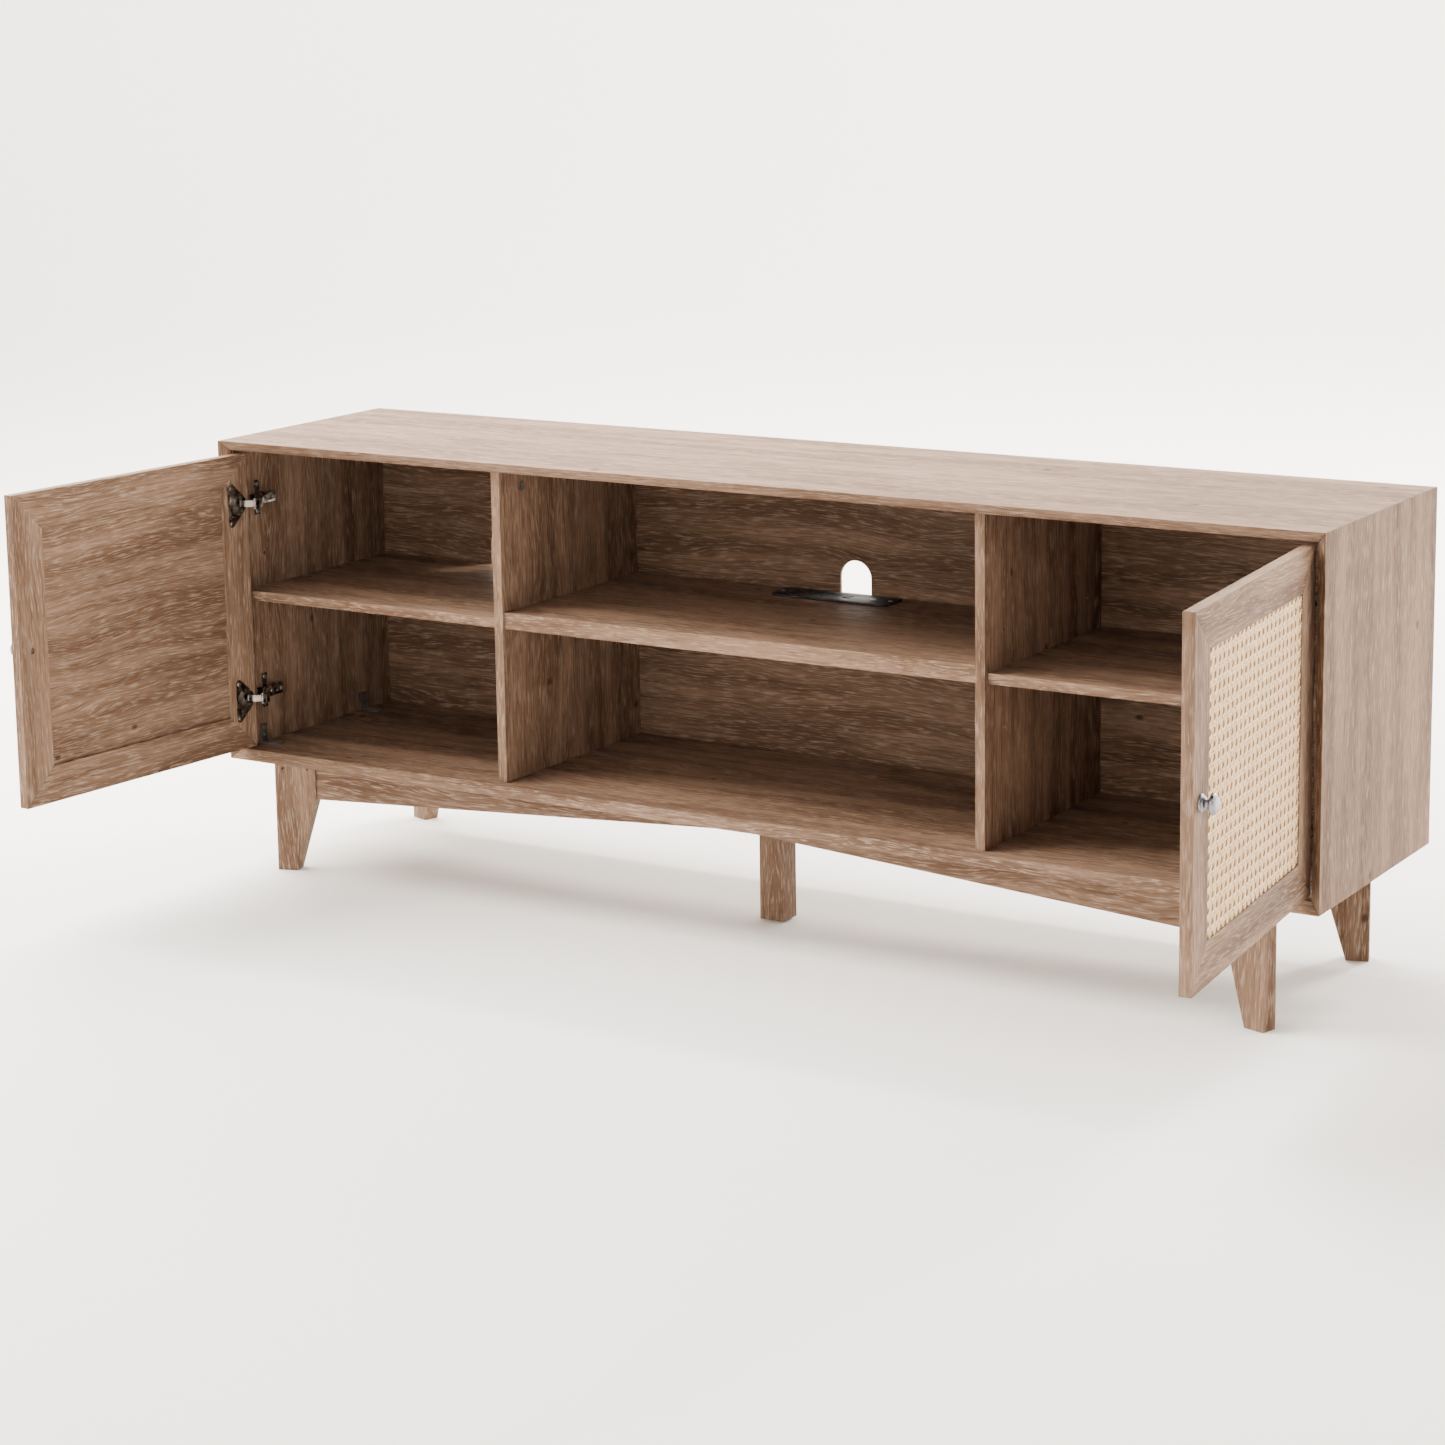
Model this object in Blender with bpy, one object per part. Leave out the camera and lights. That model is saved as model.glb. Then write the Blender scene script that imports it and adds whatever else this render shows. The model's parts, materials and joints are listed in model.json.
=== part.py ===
"""Media cabinet: an oak-look case on tapered legs, two rattan doors on cup hinges.

Metres, +Z up. The origin is on the floor under the middle leg, the front faces -Y,
and both doors stand open at the hinges' stop.
"""

import math

import bmesh
import bpy
from mathutils import Matrix, Vector

# Case
WIDTH = 1.800
DEPTH = 0.405
CASE_H = 0.500
BOARD = 0.015  # top, bottom, sides and dividers
EDGE_BEVEL = 0.012  # how far the front edges slope back towards the inside
FIT = 0.0003  # gap between pieces that touch
DIVIDER_X = 0.3985  # middle of each divider
DIVIDER_RECESS = 0.026
SHELF_RISE = 0.248  # underside of all three shelves, above the case's underside
SIDE_SHELF_T = 0.015
MID_SHELF_T = 0.025
SIDE_SHELF_RECESS = 0.032
MID_SHELF_RECESS = 0.030
SHELF_PLAY = 0.0015  # each end of a loose side shelf
BACK_T = 0.005
BACK_INSET = 0.0075  # back panels, in from the rear edges
GROOVE = 0.006
CABLE_HOLE_W = 0.053
CABLE_HOLE_H = 0.051

# Base
LEG_H = 0.172
LEG_TOP_W = 0.066
LEG_FOOT_W = 0.032
LEG_T = 0.025
LEG_TOE = math.radians(18.0)  # how far each leg is turned about its upright edge
LEG_INSET_X = 0.079
LEG_INSET_Y = 0.010
LEG_HOLE_R = 0.0018
LEG_HOLE_DROP = 0.009
LEG_HOLE_PITCH = 0.040
APRON_T = 0.015
APRON_END_H = 0.057
APRON_MID_H = 0.008
APRON_STEP = 0.003  # apron's face, behind the leg's inner corner
MID_LEG_W = 0.039
MID_LEG_IN = 0.154  # middle leg's middle, from the case's front
MID_LEG_SHORT = 0.003  # how far it ends above the floor

# Doors
DOOR_T = 0.016
DOOR_RECESS = EDGE_BEVEL  # door fronts line up with the inner edge of the bevel
SIDE_GAP = 0.004
END_GAP = 0.005
FRAME_W = 0.054
PANEL_SETBACK = 0.003  # rattan and back panel, in from the frame's two faces
PANEL_GROOVE = 0.008
KNOB_EDGE = 0.0245  # knob's axis, from the door's free edge
KNOB_R = 0.0135
KNOB_BASE_R = 0.011
KNOB_OUT = 0.021

# Cup hinges
OPEN = math.radians(95.0)
HINGE_END = 0.077  # hinge's middle, from the door's end
AXIS_IN = 0.006  # turning axis, in from the door's hinge edge
AXIS_BACK = 0.004  # turning axis, behind the door's front
CUP_EDGE = 0.005
CUP_R = 0.0175
CUP_DEPTH = 0.0118
CUP_WALL = 0.0007
FLANGE_T = 0.0008
TAB_R = 0.0065
TAB_Z = 0.027
TAB_EDGE = 0.0355  # flange tabs, from the door's hinge edge
CUP_PIN = (0.010, 0.0105)  # link's cup end: from the hinge edge, behind the front
ARM_REACH = 0.027  # link's arm end, from the turning axis
LINK_W = 0.010
LINK_T = 0.0014
LINK_BOW = 0.0025
PIN_R = 0.0010
PIN_PLAY = 0.0001
EAR_R = 0.0028
ARM_W = 0.016
CHEEK = 0.0013
ARM_TOP = 0.016  # arm's outer face, from the side panel
ARM_FOOT = 0.004
ARM_FRONT = 0.048  # where the arm starts to rise, behind the door's front
ARM_END = 0.088
PLATE_T = 0.002
PLATE_MID = 0.057  # mounting plate's screws, behind the door's front
PLATE_SPAN = 0.054
PLATE_ARM = 0.012

# Brackets and power outlet
BRACKET_FLOOR = 0.036
BRACKET_WALL = 0.028
BRACKET_W = 0.016
BRACKET_T = 0.002
BRACKET_FRONT = 0.063  # front bracket's middle, from the case's front
BRACKET_REAR = 0.088  # rear bracket's middle, from the case's back
OUTLET_X = -0.010
OUTLET_L = 0.200
OUTLET_W = 0.058
OUTLET_T = 0.0035
OUTLET_CORNER = 0.010
OUTLET_BACK = 0.054  # outlet's middle, from the case's back
OUTLET_BODY = (0.168, 0.042, 0.022)

# Worked out from the sizes above
FRONT = -MID_LEG_IN
BACK = FRONT + DEPTH
MIDDLE_Y = (FRONT + BACK) / 2
BASE_Z = LEG_H
TOP_Z = LEG_H + CASE_H
FLOOR_Z = BASE_Z + BOARD
CEILING_Z = TOP_Z - BOARD
WALL_X = WIDTH / 2 - BOARD
SHELF_Z = BASE_Z + SHELF_RISE
BACK_FACE = BACK - BACK_INSET - BACK_T  # inner face of the back panels
DIVIDER_OUT = DIVIDER_X + BOARD / 2
SIDE_BAY_X = (DIVIDER_OUT + WALL_X) / 2
DOOR_W = WALL_X - DIVIDER_OUT - 2 * SIDE_GAP
DOOR_H = CEILING_Z - FLOOR_Z - 2 * END_GAP
DOOR_Z = FLOOR_Z + END_GAP
DOOR_FRONT = FRONT + DOOR_RECESS
AXIS_Y = DOOR_FRONT + AXIS_BACK
CUP_MID = CUP_EDGE + CUP_R
GROOVE_DEPTH = min(PANEL_GROOVE, FRAME_W - CUP_EDGE - 2 * CUP_R - 0.002)  # clear of the cups
HINGE_HEIGHTS = {"lower": HINGE_END, "upper": DOOR_H - HINGE_END}
SIDES = {"left": -1, "right": 1}

# How a prism's outline (a, b) and its length c lie in X, Y, Z
ALONG_X = Matrix(((0, 0, 1), (1, 0, 0), (0, 1, 0)))  # a to Y, b to Z, c to X
ALONG_Y = Matrix(((1, 0, 0), (0, 0, 1), (0, 1, 0)))  # a to X, b to Z, c to Y
ALONG_Z = Matrix.Identity(3)

FINISHES = {  # colour, roughness, metallic
    "oak": ((0.44, 0.31, 0.24), 0.55, 0.0),
    "oak_back": ((0.26, 0.17, 0.12), 0.60, 0.0),
    "rattan": ((0.74, 0.58, 0.38), 0.75, 0.0),
    "nickel": ((0.62, 0.61, 0.59), 0.28, 1.0),
    "steel": ((0.30, 0.29, 0.28), 0.35, 1.0),
    "black_plastic": ((0.02, 0.02, 0.022), 0.40, 0.0),
    "brushed_nickel": ((0.66, 0.65, 0.64), 0.32, 1.0),
}


# Making solids


def ring(bm, points, level, turn):
    """The vertices of a closed outline at one level of a prism."""
    return [bm.verts.new(turn @ Vector((a, b, level))) for a, b in points]


def wall(bm, lower, upper):
    """Quads between two rings of the same length."""
    for i, (low, high) in enumerate(zip(lower, upper)):
        j = (i + 1) % len(lower)
        bm.faces.new((low, lower[j], upper[j], high))


def cap(bm, *rings):
    """Fills the area inside the first ring and outside the others."""
    edges = []
    for points in rings:
        for i, vert in enumerate(points):
            pair = (vert, points[(i + 1) % len(points)])
            edges.append(bm.edges.get(pair) or bm.edges.new(pair))
    bmesh.ops.triangle_fill(bm, use_beauty=True, edges=edges)


def prism(outlines, start, end, turn=ALONG_Z):
    """A solid with the given outline, and holes after it, from start to end."""
    bm = bmesh.new()
    low = [ring(bm, points, start, turn) for points in outlines]
    high = [ring(bm, points, end, turn) for points in outlines]
    for lower, upper in zip(low, high):
        wall(bm, lower, upper)
    cap(bm, *low)
    cap(bm, *high)
    return bm


def box(low, high):
    """A box between two corners."""
    return prism([rectangle(low[:2], high[:2])], low[2], high[2])


def rectangle(low, high):
    return [(low[0], low[1]), (high[0], low[1]), (high[0], high[1]), (low[0], high[1])]


def arc(centre, radius, start, end, steps):
    """Points on an arc, angles in degrees, both ends included."""
    angles = [math.radians(start + (end - start) * i / steps) for i in range(steps + 1)]
    return [(centre[0] + radius * math.cos(t), centre[1] + radius * math.sin(t)) for t in angles]


def circle(centre, radius, steps):
    return arc(centre, radius, 0, 360, steps)[:-1]


def hull(points):
    """The convex outline round a set of points."""
    points = sorted(set(points))
    outline = []
    for run in (points, points[::-1]):
        side = []
        for p in run:
            while len(side) > 1 and turns_right(side[-2], side[-1], p):
                side.pop()
            side.append(p)
        outline += side[:-1]
    return outline


def turns_right(a, b, c):
    return (b[0] - a[0]) * (c[1] - a[1]) - (b[1] - a[1]) * (c[0] - a[0]) <= 1e-12


def lathe(profile, steps):
    """Turns (radius, height) points, from pole to pole, about the Z axis."""
    bm = bmesh.new()
    bottom = bm.verts.new((0, 0, profile[0][1]))
    top = bm.verts.new((0, 0, profile[-1][1]))
    rings = [ring(bm, circle((0, 0), r, steps), z, ALONG_Z) for r, z in profile[1:-1]]
    for lower, upper in zip(rings, rings[1:]):
        wall(bm, lower, upper)
    for i in range(steps):
        j = (i + 1) % steps
        bm.faces.new((bottom, rings[0][j], rings[0][i]))
        bm.faces.new((top, rings[-1][i], rings[-1][j]))
    return bm


def cut(bm, point, normal):
    """Cuts away what lies on the normal's side of a plane and closes the face."""
    parts = bm.verts[:] + bm.edges[:] + bm.faces[:]
    done = bmesh.ops.bisect_plane(
        bm, geom=parts, plane_co=point, plane_no=normal, clear_outer=True
    )
    edges = [g for g in done["geom_cut"] if isinstance(g, bmesh.types.BMEdge)]
    bmesh.ops.triangle_fill(bm, use_beauty=True, edges=edges)


def joined(bm, tool, operation):
    """The Boolean of two solids, worked out by Blender's exact solver."""
    body = loose_object(bm)
    other = loose_object(tool)
    step = body.modifiers.new("Boolean", "BOOLEAN")
    step.operation = operation
    step.object = other
    seen = body.evaluated_get(bpy.context.evaluated_depsgraph_get())
    result = bmesh.new()
    result.from_mesh(seen.to_mesh())
    for obj in (body, other):
        mesh = obj.data
        bpy.data.objects.remove(obj)
        bpy.data.meshes.remove(mesh)
    return result


def loose_object(bm):
    bmesh.ops.recalc_face_normals(bm, faces=bm.faces)
    mesh = bpy.data.meshes.new("loose")
    bm.to_mesh(mesh)
    bm.free()
    obj = bpy.data.objects.new("loose", mesh)
    bpy.context.scene.collection.objects.link(obj)
    return obj


def piece(name, bm, finish, place=(0, 0, 0), spin=0.0, parent=None):
    """A named object with its own material, at a place and turned about Z."""
    bmesh.ops.remove_doubles(bm, verts=bm.verts, dist=0.000001)
    bmesh.ops.recalc_face_normals(bm, faces=bm.faces)
    mesh = bpy.data.meshes.new(name)
    bm.to_mesh(mesh)
    bm.free()
    colour, roughness, metallic = FINISHES[finish]
    material = bpy.data.materials.new(f"{name}_{finish}")
    material.use_nodes = True
    shader = material.node_tree.nodes["Principled BSDF"]
    shader.inputs["Base Color"].default_value = (*colour, 1)
    shader.inputs["Roughness"].default_value = roughness
    shader.inputs["Metallic"].default_value = metallic
    mesh.materials.append(material)
    mesh.shade_smooth()
    mesh.set_sharp_from_angle(angle=math.radians(30))
    obj = bpy.data.objects.new(name, mesh)
    obj.location = place
    obj.rotation_euler = (0, 0, spin)
    obj.parent = parent
    bpy.context.scene.collection.objects.link(obj)
    return obj


# Case


def case_profile():
    """A case board's section: across the depth, then in from its outer face."""
    slot = (BACK_FACE - FIT, BACK_FACE + BACK_T + FIT)
    return [
        (FRONT, 0),
        (BACK, 0),
        (BACK, BOARD),
        (slot[1], BOARD),
        (slot[1], BOARD - GROOVE),
        (slot[0], BOARD - GROOVE),
        (slot[0], BOARD),
        (FRONT + EDGE_BEVEL, BOARD),
    ]


def case_board(name, length, turn, place):
    """A grooved board with a bevelled front edge and a mitre at each end."""
    half = length / 2
    bm = prism([case_profile()], -half - BOARD, half + BOARD, turn)
    for end in (-1, 1):
        cut(bm, turn @ Vector((0, 0, end * (half - FIT / 2))), turn @ Vector((0, 1, end)))
    piece(name, bm, "oak", place)


def build_case():
    middle = (BASE_Z + TOP_Z) / 2
    flipped = ALONG_X @ Matrix.Diagonal((1, -1, 1))
    case_board("top_panel", WIDTH, flipped, (0, 0, TOP_Z))
    case_board("bottom_panel", WIDTH, ALONG_X, (0, 0, BASE_Z))
    for side, s in SIDES.items():
        turn = Matrix(((0, -s, 0), (1, 0, 0), (0, 0, 1)))
        case_board(f"side_panel_{side}", CASE_H, turn, (s * WIDTH / 2, 0, middle))


def build_inside():
    """Dividers, shelves and back panels."""
    divider_depth = (FRONT + DIVIDER_RECESS, BACK_FACE - FIT)
    for side, s in SIDES.items():
        low = (-BOARD / 2, divider_depth[0], FLOOR_Z + FIT)
        high = (BOARD / 2, divider_depth[1], CEILING_Z - FIT)
        piece(f"divider_{side}", box(low, high), "oak", (s * DIVIDER_X, 0, 0))
        span = WALL_X - DIVIDER_OUT - 2 * SHELF_PLAY
        low = (-span / 2, FRONT + SIDE_SHELF_RECESS, 0)
        high = (span / 2, BACK_FACE - SHELF_PLAY, SIDE_SHELF_T)
        middle = s * (WALL_X + DIVIDER_OUT) / 2
        piece(f"shelf_{side}", box(low, high), "oak", (middle, 0, SHELF_Z))
    half = DIVIDER_X - BOARD / 2 - FIT
    outline = rectangle((-half, FRONT + MID_SHELF_RECESS), (half, BACK_FACE - FIT))
    hole = outlet_cutout(FIT)
    piece("shelf_centre", prism([outline, hole], 0, MID_SHELF_T), "oak", (0, 0, SHELF_Z))


def cable_hole(middle, sill):
    """An arch's outline. The three holes stand on their shelves and end at one height."""
    radius = CABLE_HOLE_W / 2
    spring = SHELF_Z + MID_SHELF_T + CABLE_HOLE_H - radius
    return [(middle - radius, sill), (middle + radius, sill)] + arc((middle, spring), radius, 0, 180, 24)


def build_backs():
    """Three back panels, which meet behind the dividers. Each has a cable hole."""
    reach = GROOVE - FIT
    low, high = FLOOR_Z - reach, CEILING_Z + reach
    seam, edge = DIVIDER_X - FIT, WALL_X + reach
    bays = {"left": (-edge, -DIVIDER_X - FIT), "centre": (-seam, seam), "right": (DIVIDER_X + FIT, edge)}
    middles = {"left": -SIDE_BAY_X, "centre": 0, "right": SIDE_BAY_X}
    for name, (start, end) in bays.items():
        sill = SHELF_Z + (MID_SHELF_T if name == "centre" else SIDE_SHELF_T)
        outlines = [rectangle((start, low), (end, high)), cable_hole(middles[name], sill)]
        bm = prism(outlines, 0, BACK_T, ALONG_Y)
        piece(f"back_panel_{name}", bm, "oak_back", (0, BACK_FACE, 0))


# Base


def leg_outline():
    """A leg's face: across from its upright outer edge, then up from the top."""
    return [
        (0, 0),
        (LEG_TOP_W, 0),
        (LEG_TOP_W, -APRON_END_H),
        (LEG_FOOT_W, -LEG_H + FIT),
        (0, -LEG_H + FIT),
    ]


def leg_corner():
    """A leg's outer edge, and the place of its inner corner at the same face."""
    x = WIDTH / 2 - LEG_INSET_X
    y = DEPTH / 2 - LEG_INSET_Y
    inner = (x - LEG_TOP_W * math.cos(LEG_TOE), y - LEG_TOP_W * math.sin(LEG_TOE))
    return (x, y), inner


def build_legs():
    (x, y), _ = leg_corner()
    first = (LEG_TOP_W - LEG_HOLE_PITCH) / 2
    holes = [circle((first + i * LEG_HOLE_PITCH, -LEG_HOLE_DROP), LEG_HOLE_R, 12) for i in (0, 1)]
    for end, across in (("front", -1), ("rear", 1)):
        for side, s in SIDES.items():
            outlines = [[(-s * a, b) for a, b in loop] for loop in (leg_outline(), *holes)]
            bm = prism(outlines, 0, -across * LEG_T, ALONG_Y)
            place = (s * x, MIDDLE_Y + across * y, BASE_Z - FIT)
            piece(f"leg_{end}_{side}", bm, "oak", place, spin=s * across * LEG_TOE)
    half = MID_LEG_W / 2
    bm = box((-half, -half, MID_LEG_SHORT), (half, half, BASE_Z - FIT))
    piece("leg_centre", bm, "oak")


def build_aprons():
    """Rails whose lower edges rise in two straight lines to the middle."""
    _, (x, y) = leg_corner()
    face = y - APRON_STEP
    outline = [(-x, 0), (x, 0), (x, -APRON_END_H), (0, -APRON_MID_H), (-x, -APRON_END_H)]
    for end, across in (("front", -1), ("rear", 1)):
        bm = prism([outline], across * face, across * (face - APRON_T), ALONG_Y)
        for s in (-1, 1):
            out = Vector((s * math.cos(LEG_TOE), across * math.sin(LEG_TOE), 0))
            corner = Vector((s * x, across * y, 0))
            cut(bm, corner - out * FIT, out)
        piece(f"apron_{end}", bm, "oak", (0, MIDDLE_Y, BASE_Z - FIT))


# Doors


def frame_profile():
    """A door member's section: in from the outer edge, then back from the front."""
    near, far = PANEL_SETBACK, DOOR_T - PANEL_SETBACK
    bottom = FRAME_W - GROOVE_DEPTH
    return [
        (0, 0),
        (FRAME_W, 0),
        (FRAME_W, near),
        (bottom, near),
        (bottom, far),
        (FRAME_W, far),
        (FRAME_W, DOOR_T),
        (0, DOOR_T),
    ]


def member(length, turn):
    """A grooved door member with a mitre at each end, along its own length."""
    bm = prism([frame_profile()], -FRAME_W, length + FRAME_W, turn)
    cut(bm, turn @ Vector((0, 0, FIT / 2)), turn @ Vector((1, 0, -1)))
    cut(bm, turn @ Vector((0, 0, length - FIT / 2)), turn @ Vector((1, 0, 1)))
    return bm


def moved(bm, offset):
    bmesh.ops.translate(bm, verts=bm.verts, vec=offset)
    return bm


def build_door(side, s):
    """One door. Its parent empty is on the turning axis, at the door's lower end."""
    axis = bpy.data.objects.new(f"door_axis_{side}", None)
    axis.location = (s * (WALL_X - SIDE_GAP - AXIS_IN), AXIS_Y, DOOR_Z)
    axis.rotation_euler = (0, 0, s * OPEN)
    bpy.context.scene.collection.objects.link(axis)
    edge = Vector((s * AXIS_IN, -AXIS_BACK, 0))  # the hinge edge, at the front
    build_frame(side, s, axis, edge)
    build_panels(side, s, axis, edge)
    build_knob(side, s, axis, edge)
    for level, height in HINGE_HEIGHTS.items():
        name = f"hinge_cup_{side}_{level}"
        place = edge + Vector((-s * CUP_MID, DOOR_T, height))
        piece(name, hinge_cup(s), "nickel", place, parent=axis)


def build_frame(side, s, axis, edge):
    """Two stiles and two rails, mitred. The hinge stile is bored for the cups."""
    upright = Matrix(((-s, 0, 0), (0, 1, 0), (0, 0, 1)))
    bm = member(DOOR_H, upright)
    for height in HINGE_HEIGHTS.values():
        bore = prism([circle((0, 0), CUP_R + FIT, 48)], -CUP_DEPTH - FIT, DOOR_T, ALONG_Y)
        bm = joined(bm, moved(bore, (-s * CUP_MID, DOOR_T, height)), "DIFFERENCE")
    piece(f"hinge_stile_{side}", bm, "oak", edge, parent=axis)
    facing = Matrix(((s, 0, 0), (0, 1, 0), (0, 0, 1)))
    far = edge - Vector((s * DOOR_W, 0, 0))
    piece(f"latch_stile_{side}", member(DOOR_H, facing), "oak", far, parent=axis)
    for level, sign in (("bottom", 1), ("top", -1)):
        turn = Matrix(((0, 0, -s), (0, 1, 0), (sign, 0, 0)))
        place = edge + Vector((0, 0, 0 if sign > 0 else DOOR_H))
        piece(f"{level}_rail_{side}", member(DOOR_W, turn), "oak", place, parent=axis)


def build_panels(side, s, axis, edge):
    """The rattan panel and the back panel that share the frame's groove."""
    inset = FRAME_W - GROOVE_DEPTH + FIT
    near, far = PANEL_SETBACK + FIT, DOOR_T - PANEL_SETBACK - FIT
    thick = (far - near - FIT) / 2
    faces = {"rattan_panel": ("rattan", near), "door_back": ("oak", far - thick)}
    for name, (finish, start) in faces.items():
        low = (-s * inset, start, inset)
        high = (-s * (DOOR_W - inset), start + thick, DOOR_H - inset)
        piece(f"{name}_{side}", box(low, high), finish, edge, parent=axis)


def build_knob(side, s, axis, edge):
    """A round knob on a stepped foot, turned about its own axis."""
    foot, head = 0.0025, KNOB_OUT - 0.009
    profile = [(0, 0), (KNOB_BASE_R, 0), (KNOB_BASE_R, foot), (KNOB_BASE_R - 0.0015, foot + 0.001)]
    profile += [(KNOB_BASE_R - 0.003, foot + 0.0015), (KNOB_BASE_R - 0.0035, foot + 0.003)]
    profile += [(0.0052, foot + 0.0045), (0.0048, head - 0.003), (0.0070, head - 0.0005)]
    profile += [(KNOB_R - 0.0015, head + 0.002), (KNOB_R, head + 0.004)]
    profile += [(KNOB_R - 0.0005, head + 0.006), (KNOB_R - 0.003, head + 0.0078)]
    profile += [(KNOB_R * 0.45, KNOB_OUT - 0.0003), (0, KNOB_OUT)]
    bm = lathe(profile, 40)
    bmesh.ops.rotate(bm, verts=bm.verts, matrix=Matrix.Rotation(math.pi / 2, 3, "X"))
    place = edge + Vector((-s * (DOOR_W - KNOB_EDGE), -FIT, DOOR_H / 2))
    piece(f"knob_{side}", bm, "brushed_nickel", place, parent=axis)


# Hinges. Plan points are (from the side panel's inner face, behind the door's front).


def plan_points():
    """The turning axis and the link's ends, with the door shut and open."""
    axis = Vector((SIDE_GAP + AXIS_IN, AXIS_BACK))
    cup = Vector((SIDE_GAP + CUP_PIN[0], CUP_PIN[1])) - axis
    angle = math.atan2(cup.y, -cup.x) + OPEN / 2
    arm = axis + ARM_REACH * Vector((-math.cos(angle), math.sin(angle)))
    if arm.x < axis.x:
        arm = 2 * axis - arm
    swing = math.atan2(cup.y, -cup.x) + OPEN
    opened = axis + cup.length * Vector((-math.cos(swing), math.sin(swing)))
    return arm, axis + cup, opened


def hinge_cup(s):
    """A cup with its flange. The rim is the convex outline round the cup and tabs."""
    shift = TAB_EDGE - CUP_MID
    rim = circle((0, 0), CUP_R + 0.0005, 48)
    for z in (-TAB_Z, TAB_Z):
        rim += circle((-s * shift, z), TAB_R, 24)
    rim = hull([(round(a, 7), round(b, 7)) for a, b in rim])
    inner = circle((0, 0), CUP_R - CUP_WALL, 48)
    outer = circle((0, 0), CUP_R, 48)
    bm = bmesh.new()
    top = [ring(bm, loop, FLANGE_T + FIT, ALONG_Y) for loop in (rim, inner)]
    under = [ring(bm, loop, FIT, ALONG_Y) for loop in (rim, outer)]
    floor = ring(bm, inner, CUP_WALL - CUP_DEPTH, ALONG_Y)
    sole = ring(bm, outer, -CUP_DEPTH, ALONG_Y)
    wall(bm, under[0], top[0])
    wall(bm, floor, top[1])
    wall(bm, sole, under[1])
    cap(bm, *top)
    cap(bm, *under)
    cap(bm, floor)
    cap(bm, sole)
    return bm


def bowed_strip(length, bow, half):
    """A strip from (0, 0) to (length, 0) that bows to one side, with round ends."""
    line = [Vector((length * i / 12, bow * math.sin(math.pi * i / 12))) for i in range(13)]
    left, right = [], []
    for i, point in enumerate(line):
        run = (line[min(i + 1, 12)] - line[max(i - 1, 0)]).normalized()
        side = Vector((-run.y, run.x)) * half
        left.append(tuple(point + side))
        right.append(tuple(point - side))
    return left + right[::-1]


def hinge_link(s, length):
    """The link between the arm and the cup, with the pins in its two ends."""
    half = LINK_T / 2
    strip = [(a, s * b) for a, b in bowed_strip(length, -LINK_BOW, half)]
    bm = prism([strip], -LINK_W / 2, LINK_W / 2)
    for at, radius in ((0, 2 * PIN_R), (length, 1.2 * PIN_R)):
        eye = prism([circle((at, 0), radius, 16)], -LINK_W / 2, LINK_W / 2)
        bm = joined(bm, eye, "UNION")
    pin = prism([circle((0, 0), PIN_R, 16)], -ARM_W / 2, ARM_W / 2)
    return joined(bm, pin, "UNION")


def arm_outline(nose):
    """The arm from the side: a foot behind the panel's edge, rising to its nose."""
    toe = nose.x - EAR_R
    crest = nose.x + EAR_R
    outline = [(ARM_FOOT, ARM_END), (ARM_TOP - 0.003, ARM_END), (ARM_TOP, ARM_END - 0.003)]
    outline += [(ARM_TOP, ARM_FRONT + 0.003), (crest, nose.y + 0.014), (crest, nose.y)]
    outline += arc(tuple(nose), EAR_R, 0, -180, 10)[1:]
    outline += [(toe, nose.y + 0.010), (ARM_FOOT + 0.003, ARM_FRONT - 0.006), (ARM_FOOT, ARM_FRONT)]
    return outline


def arm_hollow(nose):
    """What is cut from between the cheeks: all but the arm's outer web."""
    crest = nose.x + EAR_R - CHEEK
    low = nose.y - 2 * EAR_R
    outline = [(ARM_FOOT - CHEEK, ARM_END + CHEEK), (ARM_TOP - CHEEK, ARM_END + CHEEK)]
    outline += [(ARM_TOP - CHEEK, ARM_FRONT + 0.0025), (crest, nose.y + 0.0135), (crest, nose.y + 0.0055)]
    outline += [(crest + 3 * CHEEK, nose.y + 0.0055), (crest + 3 * CHEEK, low)]
    outline += [(ARM_FOOT - CHEEK, low)]
    return outline


def hinge_arm(s):
    """A channel of bent sheet, open towards the side panel."""
    nose, _, _ = plan_points()
    half = ARM_W / 2
    flip = Matrix(((-s, 0, 0), (0, 1, 0), (0, 0, 1)))
    bm = prism([arm_outline(nose)], -half, half, flip)
    bm = joined(bm, prism([arm_hollow(nose)], CHEEK - half, half - CHEEK, flip), "DIFFERENCE")
    bore = prism([circle(tuple(nose), PIN_R + PIN_PLAY, 16)], -ARM_W, ARM_W, flip)
    return joined(bm, bore, "DIFFERENCE")


def mounting_plate(s):
    """A cross-shaped plate on the side panel, with the block the arm slides over."""
    half, arm = PLATE_SPAN / 2, PLATE_ARM / 2
    across, rib = PLATE_ARM * 1.5, ARM_W / 2 - CHEEK - FIT
    cross = [(PLATE_MID - across, -rib), (PLATE_MID - arm, -rib), (PLATE_MID - arm, -half)]
    cross += [(PLATE_MID + arm, -half), (PLATE_MID + arm, -rib), (PLATE_MID + across, -rib)]
    cross += [(v, -z) for v, z in reversed(cross)]
    turn = Matrix(((0, 0, -s), (1, 0, 0), (0, 1, 0)))
    bm = prism([cross], FIT, PLATE_T, turn)
    block = rectangle((PLATE_MID - arm + 0.001, -rib), (PLATE_MID + across, rib))
    top = ARM_TOP - CHEEK - FIT
    return joined(bm, prism([block], PLATE_T / 2, top, turn), "UNION")


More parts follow.
